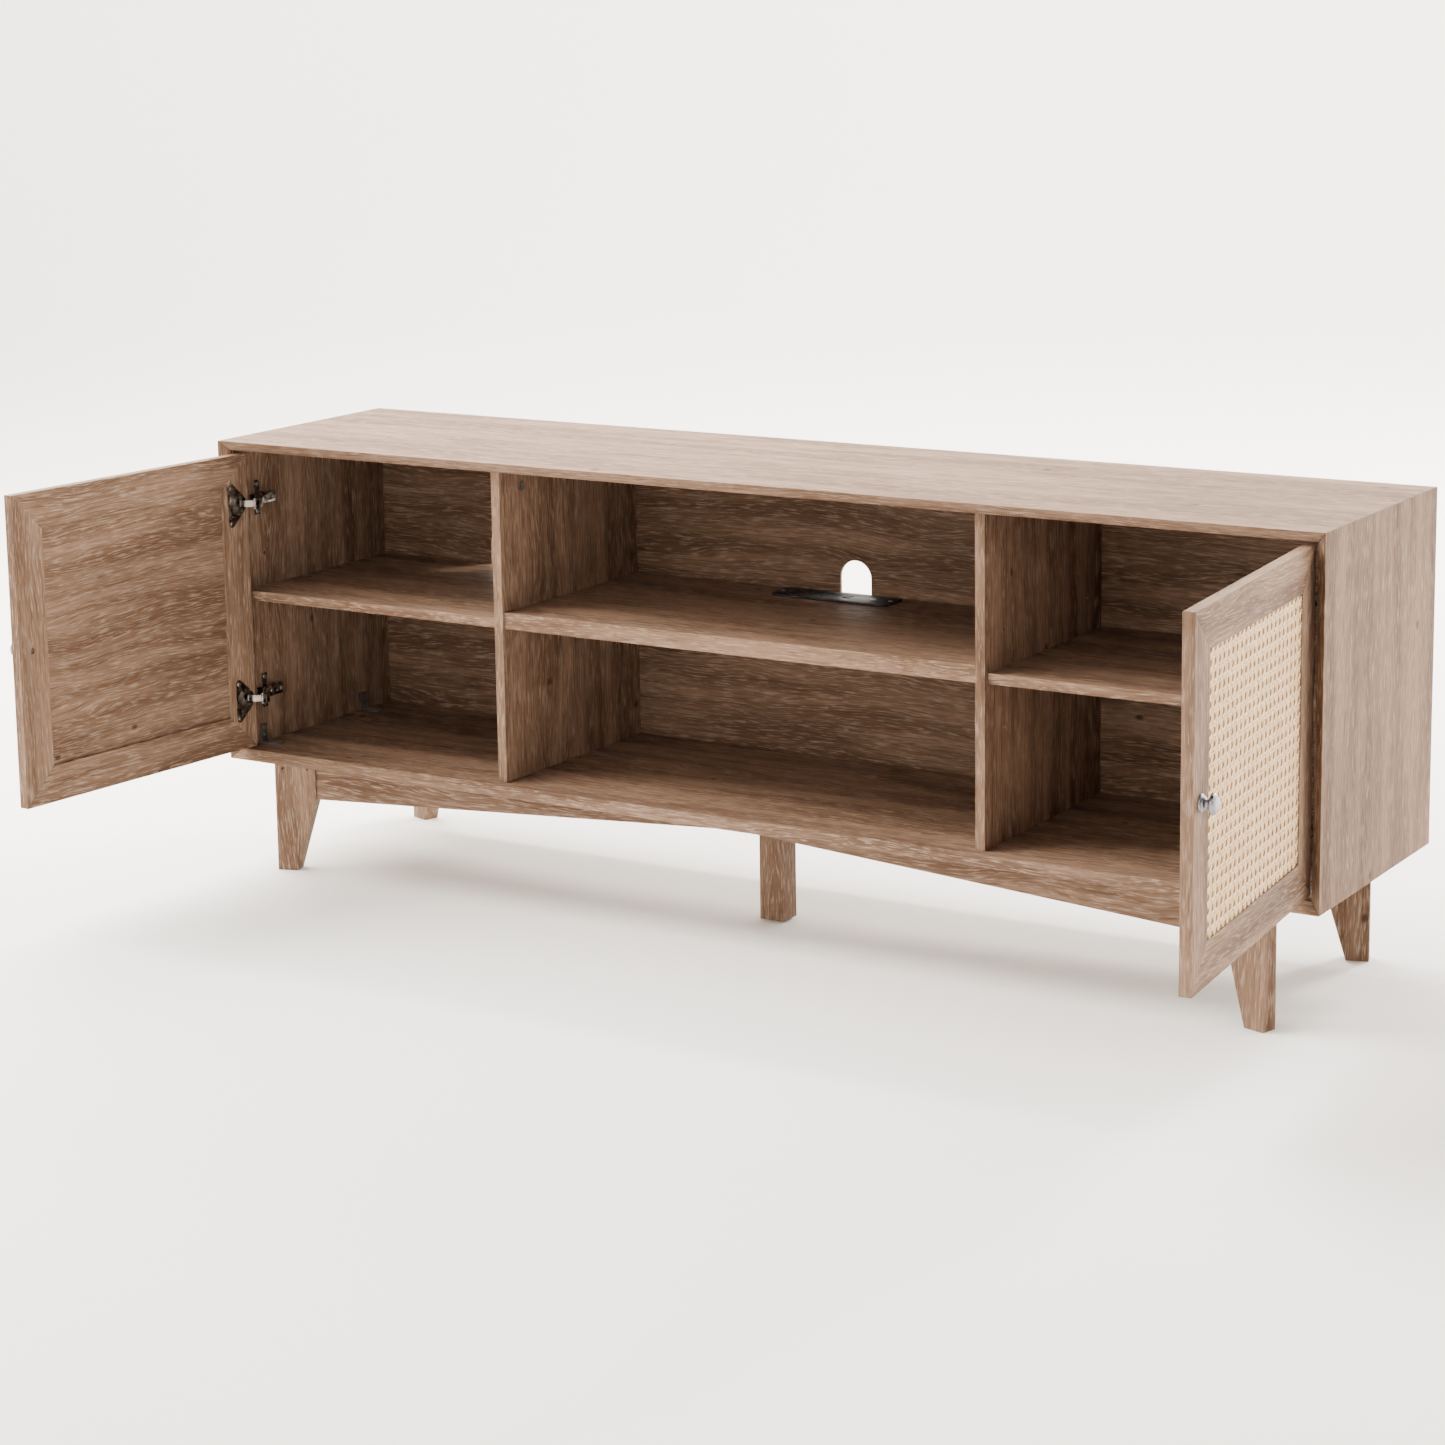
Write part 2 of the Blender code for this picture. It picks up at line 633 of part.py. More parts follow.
def build_hinges(side, s):
    arm, _, opened = plan_points()
    reach = opened - arm
    spin = math.atan2(reach.y, -s * reach.x)
    for level, height in HINGE_HEIGHTS.items():
        place = (s * WALL_X, DOOR_FRONT, DOOR_Z + height)
        piece(f"mounting_plate_{side}_{level}", mounting_plate(s), "nickel", place)
        piece(f"hinge_arm_{side}_{level}", hinge_arm(s), "nickel", place)
        pivot = (s * (WALL_X - arm.x), DOOR_FRONT + arm.y, DOOR_Z + height)
        name = f"hinge_link_{side}_{level}"
        piece(name, hinge_link(s, reach.length), "nickel", pivot, spin=spin)


# Fittings


def build_brackets():
    """Angle brackets that tie the bottom panel to the side panels."""
    bend = BRACKET_T * 1.5
    outline = [(0, 0), (BRACKET_FLOOR, 0), (BRACKET_FLOOR, BRACKET_T), (bend + BRACKET_T, BRACKET_T)]
    outline += arc((bend + BRACKET_T, bend + BRACKET_T), bend, 270, 180, 4)[1:]
    outline += [(BRACKET_T, BRACKET_WALL), (0, BRACKET_WALL)]
    places = {"front": FRONT + BRACKET_FRONT, "rear": BACK - BRACKET_REAR}
    for end, y in places.items():
        for side, s in SIDES.items():
            shape = [(-s * a, b) for a, b in outline]
            bm = prism([shape], -BRACKET_W / 2, BRACKET_W / 2, ALONG_Y)
            piece(f"bracket_{end}_{side}", bm, "steel", (s * (WALL_X - FIT), y, FLOOR_Z + FIT))


def outlet_cutout(play):
    """The outlet body's outline in plan, larger by the given play."""
    half = [size / 2 + play for size in OUTLET_BODY[:2]]
    middle = BACK - OUTLET_BACK
    low = (OUTLET_X - half[0], middle - half[1])
    high = (OUTLET_X + half[0], middle + half[1])
    return rectangle(low, high)


def build_outlet():
    """A power outlet let into the middle shelf: a body under a cover plate."""
    shelf = SHELF_Z + MID_SHELF_T
    middle = BACK - OUTLET_BACK
    bm = prism([outlet_cutout(0)], shelf - OUTLET_BODY[2], shelf)
    piece("outlet_body", bm, "black_plastic")
    half = (OUTLET_L / 2 - OUTLET_CORNER, OUTLET_W / 2 - OUTLET_CORNER)
    outline = []
    for i, (sx, sy) in enumerate(((1, 1), (-1, 1), (-1, -1), (1, -1))):
        outline += arc((sx * half[0], sy * half[1]), OUTLET_CORNER, 90 * i, 90 * i + 90, 8)
    bm = prism([outline], FIT, OUTLET_T)
    piece("outlet_cover", bm, "black_plastic", (OUTLET_X, middle, shelf))


def main():
    for obj in list(bpy.data.objects):
        bpy.data.objects.remove(obj)
    build_case()
    build_inside()
    build_backs()
    build_legs()
    build_aprons()
    for side, s in SIDES.items():
        build_door(side, s)
        build_hinges(side, s)
    build_brackets()
    build_outlet()


main()
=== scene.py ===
"""Looks for the media cabinet: limed-oak laminate, cane webbing, nickel fittings and a studio."""

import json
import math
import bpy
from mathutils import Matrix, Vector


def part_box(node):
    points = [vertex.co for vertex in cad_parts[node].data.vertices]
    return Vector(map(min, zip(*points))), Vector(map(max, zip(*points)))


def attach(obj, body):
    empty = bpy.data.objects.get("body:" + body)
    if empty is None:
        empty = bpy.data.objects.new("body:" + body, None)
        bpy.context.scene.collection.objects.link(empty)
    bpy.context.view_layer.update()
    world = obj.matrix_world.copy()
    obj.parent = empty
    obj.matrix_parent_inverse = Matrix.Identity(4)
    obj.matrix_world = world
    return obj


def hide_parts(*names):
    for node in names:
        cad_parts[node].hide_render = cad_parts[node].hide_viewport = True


bl_info = {
    "name": "Media cabinet looks",
    "version": (1, 0, 0),
    "blender": (4, 5, 0),
    "location": "View3D > Sidebar > Cabinet",
    "description": "Finishes, cane webbing and fittings for a media cabinet on its solid frame",
    "category": "Object",
}

import bmesh
import bpy
from bpy.props import FloatProperty, FloatVectorProperty, PointerProperty
from mathutils import Matrix, Vector

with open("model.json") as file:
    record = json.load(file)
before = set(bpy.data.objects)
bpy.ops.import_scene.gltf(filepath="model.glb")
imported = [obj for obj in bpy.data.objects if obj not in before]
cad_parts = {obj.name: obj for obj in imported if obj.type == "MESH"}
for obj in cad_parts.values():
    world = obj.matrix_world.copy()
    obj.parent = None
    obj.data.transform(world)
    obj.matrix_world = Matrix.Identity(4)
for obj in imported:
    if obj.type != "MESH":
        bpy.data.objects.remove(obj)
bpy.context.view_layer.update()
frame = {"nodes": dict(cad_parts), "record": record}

MM = 0.001
NODES = frame["nodes"]
JOINTS = {joint["name"]: joint for joint in frame["record"]["behaviour"]["joints"]}
SIDES = {"left": -1, "right": 1}
LEVELS = ("lower", "upper")
SOFT_EDGE = 0.5 * MM  # rounding on the boards' edges
BACK_EDGE = 0.3 * MM  # rounding on the thin back panels
SHEET_EDGE = 0.2 * MM  # rounding on the sheet behind the webbing
PRESSED_EDGE = 0.25 * MM  # rounding on pressed sheet metal
LINK_EDGE = 0.15 * MM  # rounding on the hinges' thin links
BRACKET_EDGE = 0.4 * MM  # rounding on the brackets
MOULDED_EDGE = 0.5 * MM  # rounding on the outlet's cover
WELD = 0.002 * MM  # points nearer than this become one
SLIVER = 0.02 * MM  # an edge shorter than this is closed up
LEVEL = math.radians(1)  # faces that turn by less than this become one
PRINT_STEP = (0.731, 0.317, 0.113)  # metres of print from one board to the next
KNOB_BORE = 5 * MM  # depth of the bore for a knob's screw, in the back of a stile
KNOB_SCREW_SUNK = 4.4 * MM  # depth of the screw's seat in that bore
PROUD = 2 * MM  # how far a cutter stands out of the face that it cuts


# Places taken from the frame


def door_space(side):
    """From a shut door's own axes to the open door: X out to the hinge side, Y back."""
    joint = JOINTS[f"door_{side}_hinge"]
    turn = Matrix.Rotation(math.radians(-joint["range_deg"][0]), 4, Vector(joint["axis"]))
    flip = Matrix.Diagonal((SIDES[side], 1, 1, 1))
    return Matrix.Translation(joint["pos_m"]) @ turn @ flip


def box_in(node, space):
    """A node's lowest and highest corners along the axes of a space."""
    back = space.inverted()
    points = [back @ vert.co for vert in NODES[node].data.vertices]
    low = Vector([min(p[i] for p in points) for i in range(3)])
    high = Vector([max(p[i] for p in points) for i in range(3)])
    return low, high


def face_of(node, side):
    """Where a node's left (-1) or right (1) face stands, along X."""
    low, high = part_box(node)
    return high.x if side > 0 else low.x


def frame_on(point, normal, up=(0, 0, 1)):
    """A space at a point, with its Z along the normal and its Y near the up direction."""
    z = Vector(normal).normalized()
    x = Vector(up).cross(z).normalized()
    y = z.cross(x)
    turn = Matrix((x, y, z)).transposed().to_4x4()
    return Matrix.Translation(point) @ turn


# Solids


def ring(bm, points, level):
    return [bm.verts.new((x, y, level)) for x, y in points]


def turns(steps):
    """Angles at even steps round a circle."""
    return [math.tau * i / steps for i in range(steps)]


def circle(centre, radius, steps):
    x, y = centre
    return [(x + radius * math.cos(t), y + radius * math.sin(t)) for t in turns(steps)]


def prism(points, low, high):
    """A closed outline carried up from one level to another."""
    bm = bmesh.new()
    lower, upper = ring(bm, points, low), ring(bm, points, high)
    bm.faces.new(lower[::-1])
    bm.faces.new(upper)
    for i, vert in enumerate(lower):
        j = (i + 1) % len(lower)
        bm.faces.new((vert, lower[j], upper[j], upper[i]))
    return bm


def plate(width, height, low, high, centre=(0, 0)):
    """A rectangular prism about a centre."""
    x, y = centre
    w, h = width / 2, height / 2
    return prism([(x - w, y - h), (x + w, y - h), (x + w, y + h), (x - w, y + h)], low, high)


def lathe(profile, steps):
    """Turns (radius, height) points, from pole to pole, about the Z axis."""
    bm = bmesh.new()
    rings = [ring(bm, circle((0, 0), r, steps), z) for r, z in profile[1:-1]]
    bottom = bm.verts.new((0, 0, profile[0][1]))
    top = bm.verts.new((0, 0, profile[-1][1]))
    for lower, upper in zip(rings, rings[1:]):
        for i, vert in enumerate(lower):
            j = (i + 1) % steps
            bm.faces.new((vert, lower[j], upper[j], upper[i]))
    for i in range(steps):
        j = (i + 1) % steps
        bm.faces.new((bottom, rings[0][j], rings[0][i]))
        bm.faces.new((top, rings[-1][i], rings[-1][j]))
    return bm


def rounded(bm, width, segments=2, angle=25):
    """Rounds every edge that turns by more than an angle, in degrees."""
    limit = math.radians(angle)
    sharp = [e for e in bm.edges if e.is_manifold and e.calc_face_angle() > limit]
    shape = {"segments": segments, "profile": 0.5, "affect": "EDGES", "clamp_overlap": True}
    bmesh.ops.bevel(bm, geom=sharp, offset=width, **shape)
    return bm


def solid_of(node):
    """A CAD node's solid with its flat faces whole again."""
    bm = bmesh.new()
    bm.from_mesh(NODES[node].data)
    bmesh.ops.remove_doubles(bm, verts=bm.verts, dist=WELD)
    bmesh.ops.dissolve_limit(bm, angle_limit=LEVEL, verts=bm.verts, edges=bm.edges)
    return bm


def moved(bm, space):
    bmesh.ops.transform(bm, matrix=space, verts=bm.verts)
    if space.determinant() < 0:
        bmesh.ops.reverse_faces(bm, faces=bm.faces)
    return bm


def placed(name, data):
    """A new object in the scene."""
    obj = bpy.data.objects.new(name, data)
    bpy.context.scene.collection.objects.link(obj)
    return obj


def mesh_of(name, bm):
    """A mesh from a solid, which is used up."""
    mesh = bpy.data.meshes.new(name)
    bm.to_mesh(mesh)
    bm.free()
    return mesh


def loose_object(bm):
    bmesh.ops.recalc_face_normals(bm, faces=bm.faces)
    return placed("loose", mesh_of("loose", bm))


def carved(bm, tools, operation="DIFFERENCE"):
    """The solid after each tool is cut from it or joined to it."""
    body = loose_object(bm)
    cutters = [loose_object(tool) for tool in tools]
    for cutter in cutters:
        step = body.modifiers.new("Boolean", "BOOLEAN")
        step.operation = operation
        step.object = cutter
    seen = body.evaluated_get(bpy.context.evaluated_depsgraph_get())
    result = bmesh.new()
    result.from_mesh(seen.to_mesh())
    for obj in (body, *cutters):
        mesh = obj.data
        bpy.data.objects.remove(obj)
        bpy.data.meshes.remove(mesh)
    bmesh.ops.dissolve_limit(result, angle_limit=LEVEL, verts=result.verts, edges=result.edges)
    return result


def show(name, bm, material, body, slot, smooth=35):
    """Makes a solid a named piece that moves with a body of the cabinet."""
    bmesh.ops.recalc_face_normals(bm, faces=bm.faces)
    mesh = mesh_of(name, bm)
    for layer in ("custom_normal", "sharp_face", "sharp_edge"):
        if mesh.attributes.get(layer):
            mesh.attributes.remove(mesh.attributes[layer])
    mesh.materials.clear()
    mesh.materials.append(material)
    mesh.shade_smooth()
    if smooth:
        mesh.set_sharp_from_angle(angle=math.radians(smooth))
    else:
        keep_flat(mesh)
    obj = placed(name, mesh)
    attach(obj, body)
    return obj


def keep_flat(mesh):
    """Turns each point's normal to its largest faces, so that flat faces stay flat to the eye."""
    sums = [Vector() for _ in mesh.vertices]
    for face in mesh.polygons:
        for i in face.vertices:
            sums[i] += face.normal * face.area
    mesh.normals_split_custom_set_from_vertices([total.normalized() for total in sums])


def lay_grain(obj, space, along):
    """Stores each point's distance along, across and through the grain, in metres.

    Each board starts at its own place in the print, which its name decides.
    """
    mesh = obj.data
    back = space.inverted()
    points = [back @ vert.co for vert in mesh.vertices]
    spans = [max(p[i] for p in points) - min(p[i] for p in points) for i in range(3)]
    others = sorted((i for i in range(3) if i != along), key=lambda i: -spans[i])
    number = sum(ord(letter) * (i + 3) for i, letter in enumerate(obj.name)) % 97
    start = Vector([number * step for step in PRINT_STEP])
    layer = mesh.attributes.new("grain", "FLOAT_VECTOR", "POINT")
    for i, p in enumerate(points):
        layer.data[i].vector = start + Vector((p[along], p[others[0]], p[others[1]]))
    return obj


def board(node, material, body, along, space=None, tools=(), edge=SOFT_EDGE):
    """Shows a wooden node with soft edges and its grain along one axis of a space."""
    bm = solid_of(node)
    if tools:
        bm = carved(bm, tools)
    obj = show(f"{node}_board", rounded(bm, edge), material, body, slot_of(node), smooth=0)
    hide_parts(node)
    return lay_grain(obj, space or Matrix.Identity(4), along)


def fitting(node, material, body, tools=(), edge=PRESSED_EDGE):
    """Shows a metal or plastic node with soft edges."""
    bm = solid_of(node)
    if tools:
        bm = carved(bm, tools)
    rounded(bm, edge)
    bmesh.ops.dissolve_degenerate(bm, dist=SLIVER, edges=bm.edges)
    obj = show(f"{node}_part", bm, material, body, slot_of(node))
    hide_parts(node)
    return obj


def slot_of(node):
    for part in frame["record"]["subparts"]:
        if part["node"] == node:
            return part["material_slot"]
    raise ValueError(f"no slot for {node}")


# Materials


def colour(code):
    """An sRGB hex code as linear red, green, blue and alpha."""
    parts = [int(code[i : i + 2], 16) / 255 for i in (1, 3, 5)]
    linear = [c / 12.92 if c <= 0.04045 else ((c + 0.055) / 1.055) ** 2.4 for c in parts]
    return (*linear, 1.0)


def add(tree, kind, inputs=None, stops=(), **settings):
    """Adds a shader node with its settings, its inputs and, on a ramp, its stops."""
    made = tree.nodes.new(f"ShaderNode{kind}")
    for name, value in settings.items():
        setattr(made, name, value)
    for place, value in stops:
        at = made.color_ramp.elements
        stop = at[0] if place == 0 else at[1] if place == 1 else at.new(place)
        stop.color = value
    feed(tree, made, inputs or {})
    return made


def feed(tree, node, inputs):
    """Gives each of a node's inputs a value or a link from another node's output."""
    for key, value in inputs.items():
        if isinstance(value, bpy.types.NodeSocket):
            tree.links.new(value, node.inputs[key])
        else:
            node.inputs[key].default_value = value


def new_material(name):
    """A material with an empty tree and its surface shader."""
    material = bpy.data.materials.new(name)
    material.use_nodes = True
    tree = material.node_tree
    tree.nodes.clear()
    shader = add(tree, "BsdfPrincipled")
    add(tree, "OutputMaterial", {"Surface": shader.outputs["BSDF"]})
    return material, tree, shader


def limed_oak(name, tint):
    """Oak-print laminate on board, embossed and limed.

    Melamine over a printed oak figure: soft pink-brown bands, arched growth rings, small
    knots, dark fibres and short pale limed pores, with a matt, slightly uneven sheen.
    """
    oak = bpy.context.scene.cabinet.oak
    material, tree, shader = new_material(name)
    grain = add(tree, "Attribute", attribute_name="grain").outputs["Vector"]
    axes = add(tree, "SeparateXYZ", {0: grain})

    # The grain wanders sideways in long waves, which bends the rings into arches
    waves = (1 / oak.figure_length, 1 / (oak.figure_width * 3), 1 / (oak.figure_width * 3))
    at = add(tree, "VectorMath", {0: grain, 1: waves}, operation="MULTIPLY").outputs[0]
    inputs = {"Vector": at, "Scale": 1.0, "Detail": 2.0, "Roughness": 0.55}
    wander = add(tree, "TexNoise", inputs).outputs["Fac"]
    inputs = {0: wander, 1: oak.wander, 2: axes.outputs["Y"]}
    across = add(tree, "Math", inputs, operation="MULTIPLY_ADD").outputs[0]
    inputs = {0: axes.outputs["X"], 1: across, 2: axes.outputs["Z"]}
    bent = add(tree, "CombineXYZ", inputs).outputs[0]

    # Streaks of each length and width; fibres and pores are drawn at about twice their real
    # width so that they show
    streaks = []
    pore_length = oak.fibre_length * 0.45
    for long, wide, detail in (
        (oak.figure_length, oak.figure_width, 3.0),
        (oak.fibre_length, oak.fibre_width, 3.0),
        (pore_length, oak.fibre_width, 2.0),
    ):
        stretch = (1 / long, 1 / wide, 1 / wide)
        at = add(tree, "VectorMath", {0: bent, 1: stretch}, operation="MULTIPLY").outputs[0]
        inputs = {"Vector": at, "Scale": 1.0, "Detail": detail, "Roughness": 0.55}
        streaks.append(add(tree, "TexNoise", inputs).outputs["Fac"])
    bands, fibres, pores = streaks

    phase = add(tree, "Math", {0: across, 1: math.tau / oak.ring_gap}, operation="MULTIPLY")
    rings = add(tree, "Math", {0: phase.outputs[0]}, operation="SINE").outputs[0]

    # A few small knots, longer along the grain than across it
    cells = (1 / oak.knot_gap, 1.4 / oak.knot_gap, 0.0)
    at = add(tree, "VectorMath", {0: bent, 1: cells}, operation="MULTIPLY").outputs[0]
    inputs = {"Vector": at, "Scale": 1.0}
    knots = add(tree, "TexVoronoi", inputs, voronoi_dimensions="2D").outputs["Distance"]

    ends = ((0, oak.dark), (1, oak.light))
    stops = (*ends, (0.38, oak.dark), (0.5, oak.mid), (0.62, oak.light))
    coat = add(tree, "ValToRGB", {"Fac": bands}, stops).outputs["Color"]
    # Each layer's pattern, where it starts to show, where it is at its most, how much it
    # then covers, and its colour
    for pattern, start, full, most, hue in (
        (rings, 0.2, 1.0, 0.26, oak.ring),
        (fibres, 0.47, 0.34, 0.55, oak.ring),
        (pores, 0.52, 0.66, 0.62, oak.pore),
        (knots, 0.020, 0.008, 0.8, oak.knot),
    ):
        inputs = {"Value": pattern, "From Min": start, "From Max": full, "To Max": most}
        cover = add(tree, "MapRange", inputs).outputs["Result"]
        coat = add(tree, "Mix", {0: cover, 6: coat, 7: hue}, data_type="RGBA").outputs[2]

    # The tint scales the print's brightness; below 1, on the back panels, it is painted shade
    final = add(tree, "HueSaturation", {"Value": tint, "Color": coat}).outputs["Color"]
    inputs = {"Value": fibres, "From Min": 0.3, "From Max": 0.7, "To Min": 0.7, "To Max": 0.55}
    rough = add(tree, "MapRange", inputs).outputs["Result"]
    inputs = {"Height": fibres, "Strength": 0.3, "Distance": 0.1 * MM}
    bump = add(tree, "Bump", inputs).outputs["Normal"]
    feed(tree, shader, {"Base Color": final, "Roughness": rough, "Normal": bump})
    feed(tree, shader, {"IOR": 1.5, "Specular IOR Level": 0.12})
    return material


def split_cane(name, tone, spread):
    """Rattan peel split into flat strands, bleached and left unvarnished.

    A silky, straw-coloured skin with fine lengthwise lines. Each strand has its own shade,
    up to the given spread towards the darker one.
    """
    cane = bpy.context.scene.cabinet.cane
    material, tree, shader = new_material(name)
    grain = add(tree, "Attribute", attribute_name="grain").outputs["Vector"]
    line_length, line_width = 30 * MM, 0.5 * MM
    lines = (1 / line_length, 1 / line_width, 1.0)
    at = add(tree, "VectorMath", {0: grain, 1: lines}, operation="MULTIPLY").outputs[0]
    inputs = {"Vector": at, "Scale": 1.0, "Detail": 2.0, "Roughness": 0.6}
    skin = add(tree, "TexNoise", inputs).outputs["Fac"]
    number = add(tree, "SeparateXYZ", {0: grain}).outputs["Z"]
    shade = add(tree, "TexWhiteNoise", {"W": number}, noise_dimensions="1D").outputs["Value"]
    darker = add(tree, "Math", {0: shade, 1: spread}, operation="MULTIPLY").outputs[0]
    inputs = {0: darker, 6: tone, 7: cane.shade}
    strand = add(tree, "Mix", inputs, data_type="RGBA").outputs[2]
    inputs = {"Value": skin, "From Min": 0.45, "From Max": 0.3, "To Max": 0.4}
    line = add(tree, "MapRange", inputs).outputs["Result"]
    inputs = {0: line, 6: strand, 7: cane.shade}
    final = add(tree, "Mix", inputs, data_type="RGBA").outputs[2]
    inputs = {"Height": skin, "Strength": 0.3, "Distance": 0.05 * MM}
    bump = add(tree, "Bump", inputs).outputs["Normal"]
    feed(tree, shader, {"Base Color": final, "Normal": bump, "Roughness": 0.5, "IOR": 1.5})
    return material


def plated_steel(name, tone, roughness, line_width):
    """Pressed steel with a nickel or zinc plate.

    Plating keeps the press's faint drawing lines and clouds a little with handling, so
    highlights are bright but soft at their edges.
    """
    material, tree, shader = new_material(name)
    line_length, cloud_size = 25 * MM, 14 * MM
    where = add(tree, "TexCoord").outputs["Object"]
    lines = (1 / line_width, 1 / line_width, 1 / line_length)
    at = add(tree, "VectorMath", {0: where, 1: lines}, operation="MULTIPLY").outputs[0]
    drawn = add(tree, "TexNoise", {"Vector": at, "Scale": 1.0, "Detail": 2.0}).outputs["Fac"]
    inputs = {"Vector": where, "Scale": 1 / cloud_size, "Detail": 3.0}
    cloud = add(tree, "TexNoise", inputs).outputs["Fac"]
    smoothest, roughest = roughness - 0.05, roughness + 0.09
    inputs = {"From Min": 0.3, "From Max": 0.7, "To Min": smoothest, "To Max": roughest}
    rough = add(tree, "MapRange", {"Value": cloud, **inputs}).outputs["Result"]
    inputs = {"Height": drawn, "Strength": 0.15, "Distance": 0.003 * MM}
    bump = add(tree, "Bump", inputs).outputs["Normal"]
    feed(tree, shader, {"Base Color": tone, "Metallic": 1.0, "Roughness": rough, "Normal": bump})
    return material


def moulded_abs(name, tone, roughness=0.6):
    """ABS moulded in a spark-eroded tool: a fine, even grain that dulls its highlights."""
    material, tree, shader = new_material(name)
    grit_size = 0.6 * MM
    where = add(tree, "TexCoord").outputs["Object"]
    inputs = {"Vector": where, "Scale": 1 / grit_size, "Detail": 2.0}
    grit = add(tree, "TexNoise", inputs).outputs["Fac"]
    inputs = {"Height": grit, "Strength": 0.35, "Distance": 0.03 * MM}
    bump = add(tree, "Bump", inputs).outputs["Normal"]
    feed(tree, shader, {"Base Color": tone, "Roughness": roughness, "IOR": 1.53, "Normal": bump})
    return material


def painted_sweep(name, tone):
    """Matt emulsion on a studio sweep: even, pale and without shine."""
    material, tree, shader = new_material(name)
    nap = 3 * MM
    where = add(tree, "TexCoord").outputs["Object"]
    inputs = {"Vector": where, "Scale": 1 / nap, "Detail": 2.0}
    roller = add(tree, "TexNoise", inputs).outputs["Fac"]
    inputs = {"Height": roller, "Strength": 0.05, "Distance": 0.1 * MM}
    bump = add(tree, "Bump", inputs).outputs["Normal"]
    feed(tree, shader, {"Base Color": tone, "Roughness": 0.9, "Normal": bump})
    return material


def shared(name, make, *args):
    """A material that is made once and used by name afterwards."""
    return bpy.data.materials.get(name) or make(name, *args)


def oak():
    return shared("limed_oak_laminate", limed_oak, 1.0)


def oak_back_painted_shade():
    """The thin back panels, with painted shade: their print is made a little darker to stand for the
    shade inside the bays.
    """
    return shared("limed_oak_back_board", limed_oak, 0.88)


def metal():
    return bpy.context.scene.cabinet.metal


def nickel():
    return shared("nickel_plated_steel", plated_steel, metal().nickel, 0.24, 0.4 * MM)


def zinc():
    return shared("zinc_plated_steel", plated_steel, metal().zinc, 0.36, 0.6 * MM)


def satin_nickel():
    return shared("satin_nickel", plated_steel, metal().satin, 0.3, 0.3 * MM)


def black_abs():
    return shared("black_abs", moulded_abs, metal().black)


# Small fittings


def screw_head(radius, height):
    """A domed head with a cross recess, resting at Z = 0 with its foot a little below."""
    profile = [(0, -height * 0.3), (radius * 0.96, -height * 0.3), (radius, 0.05 * height)]
    for i in range(1, 6):
        t = math.pi / 2 * i / 6
        profile.append((radius * math.cos(t) ** 0.7, height * (0.2 + 0.8 * math.sin(t))))
    profile.append((0, height))
    head = lathe(profile, 32)
    arm, half = radius * 0.62, radius * 0.13
    cross = []
    for quarter in range(4):
        c, s = math.cos(math.pi / 2 * quarter), math.sin(math.pi / 2 * quarter)
        for x, y in ((half, -half), (arm, -half * 0.8), (arm, half * 0.8)):
            cross.append((x * c - y * s, x * s + y * c))
    return carved(head, [prism(cross, height * 0.25, height * 2)])


def fix(name, head, space, body="case", finish=zinc, slot="steel"):
    """Puts a copy of a screw head in a space."""
    show(name, moved(head.copy(), space), finish(), body, slot)


def pin_rows(settings, side):
    """How far back the front and back rows of shelf pins are."""
    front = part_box(f"side_panel_{side}")[0].y + settings.pin_front
    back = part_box(f"back_panel_{side}")[0].y - settings.pin_back
    return {"front": front, "back": back}


def pin_holes(settings):
    """The depth and height of every shelf-pin hole in an upright board."""
    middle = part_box("shelf_left")[0].z - settings.pin_radius
    heights = [middle + i * settings.pin_pitch for i in (-1, 0, 1)]
    return [(y, z) for y in pin_rows(settings, "left").values() for z in heights]


def drills(x, towards, holes, radius, depth):
    """Round cutters for holes in an upright face, sunk in the given direction."""
    made = []
    for y, z in holes:
        bit = prism(circle((0, 0), radius, 20), -depth, PROUD)
        made.append(moved(bit, frame_on((x, y, z), (-towards, 0, 0))))
    return made


# Settings


def swatch(name, code, text):
    """A colour, from its sRGB hex code."""
    return FloatVectorProperty(
        name=name, description=text, subtype="COLOR", size=4, min=0, max=1, default=colour(code)
    )


def metres(name, value, text):
    return FloatProperty(name=name, description=text, default=value, unit="LENGTH", min=0)


def watts(name, value, text):
    return FloatProperty(name=name, description=text, default=value, unit="POWER", min=0)


class OakSettings(bpy.types.PropertyGroup):
    light: swatch("Light bands", "#856A57", "Palest bands of the oak figure")
    mid: swatch("Middle bands", "#745C4A", "Usual colour of the oak")
    dark: swatch("Dark bands", "#624A3A", "Darkest bands of the oak figure")
    ring: swatch("Rings", "#463020", "Late-wood rings and dark fibres")
    pore: swatch("Limed pores", "#A68F7C", "Pale filler left in the pores")
    knot: swatch("Knots", "#301F14", "Middle of a knot")
    figure_length: metres("Figure length", 0.42, "Length of one band of the figure")
    figure_width: metres("Figure width", 0.030, "Width of one band of the figure")
    wander: metres("Wander", 0.060, "How far the grain wanders sideways")
    ring_gap: metres("Ring spacing", 0.0085, "Distance between growth rings on the face")
    knot_gap: metres("Knot spacing", 0.42, "Usual distance between knots along a board")
    fibre_length: metres("Fibre length", 0.060, "Length of one fibre; a pore is about half as long")
    fibre_width: metres("Fibre width", 0.0018, "Width of one fibre or pore")


class CaneSettings(bpy.types.PropertyGroup):
    strand: swatch("Strands", "#F3CE9B", "Bleached cane skin")
    shade: swatch("Darker strands", "#B58650", "Knots, edges and darker strands")
    backing: swatch("Backing", "#DDB57F", "Sheet behind the webbing")
    pitch: metres("Pitch", 0.0166, "Distance from one hole of the webbing to the next")
    pair: metres("Pair spacing", 0.0042, "Distance between the two strands of a pair")
    width: metres("Strand width", 0.0030, "Width of an upright or level strand")
    cross_width: metres("Diagonal width", 0.0034, "Width of a diagonal strand")
    thickness: metres("Strand thickness", 0.0006, "Thickness of a strand")


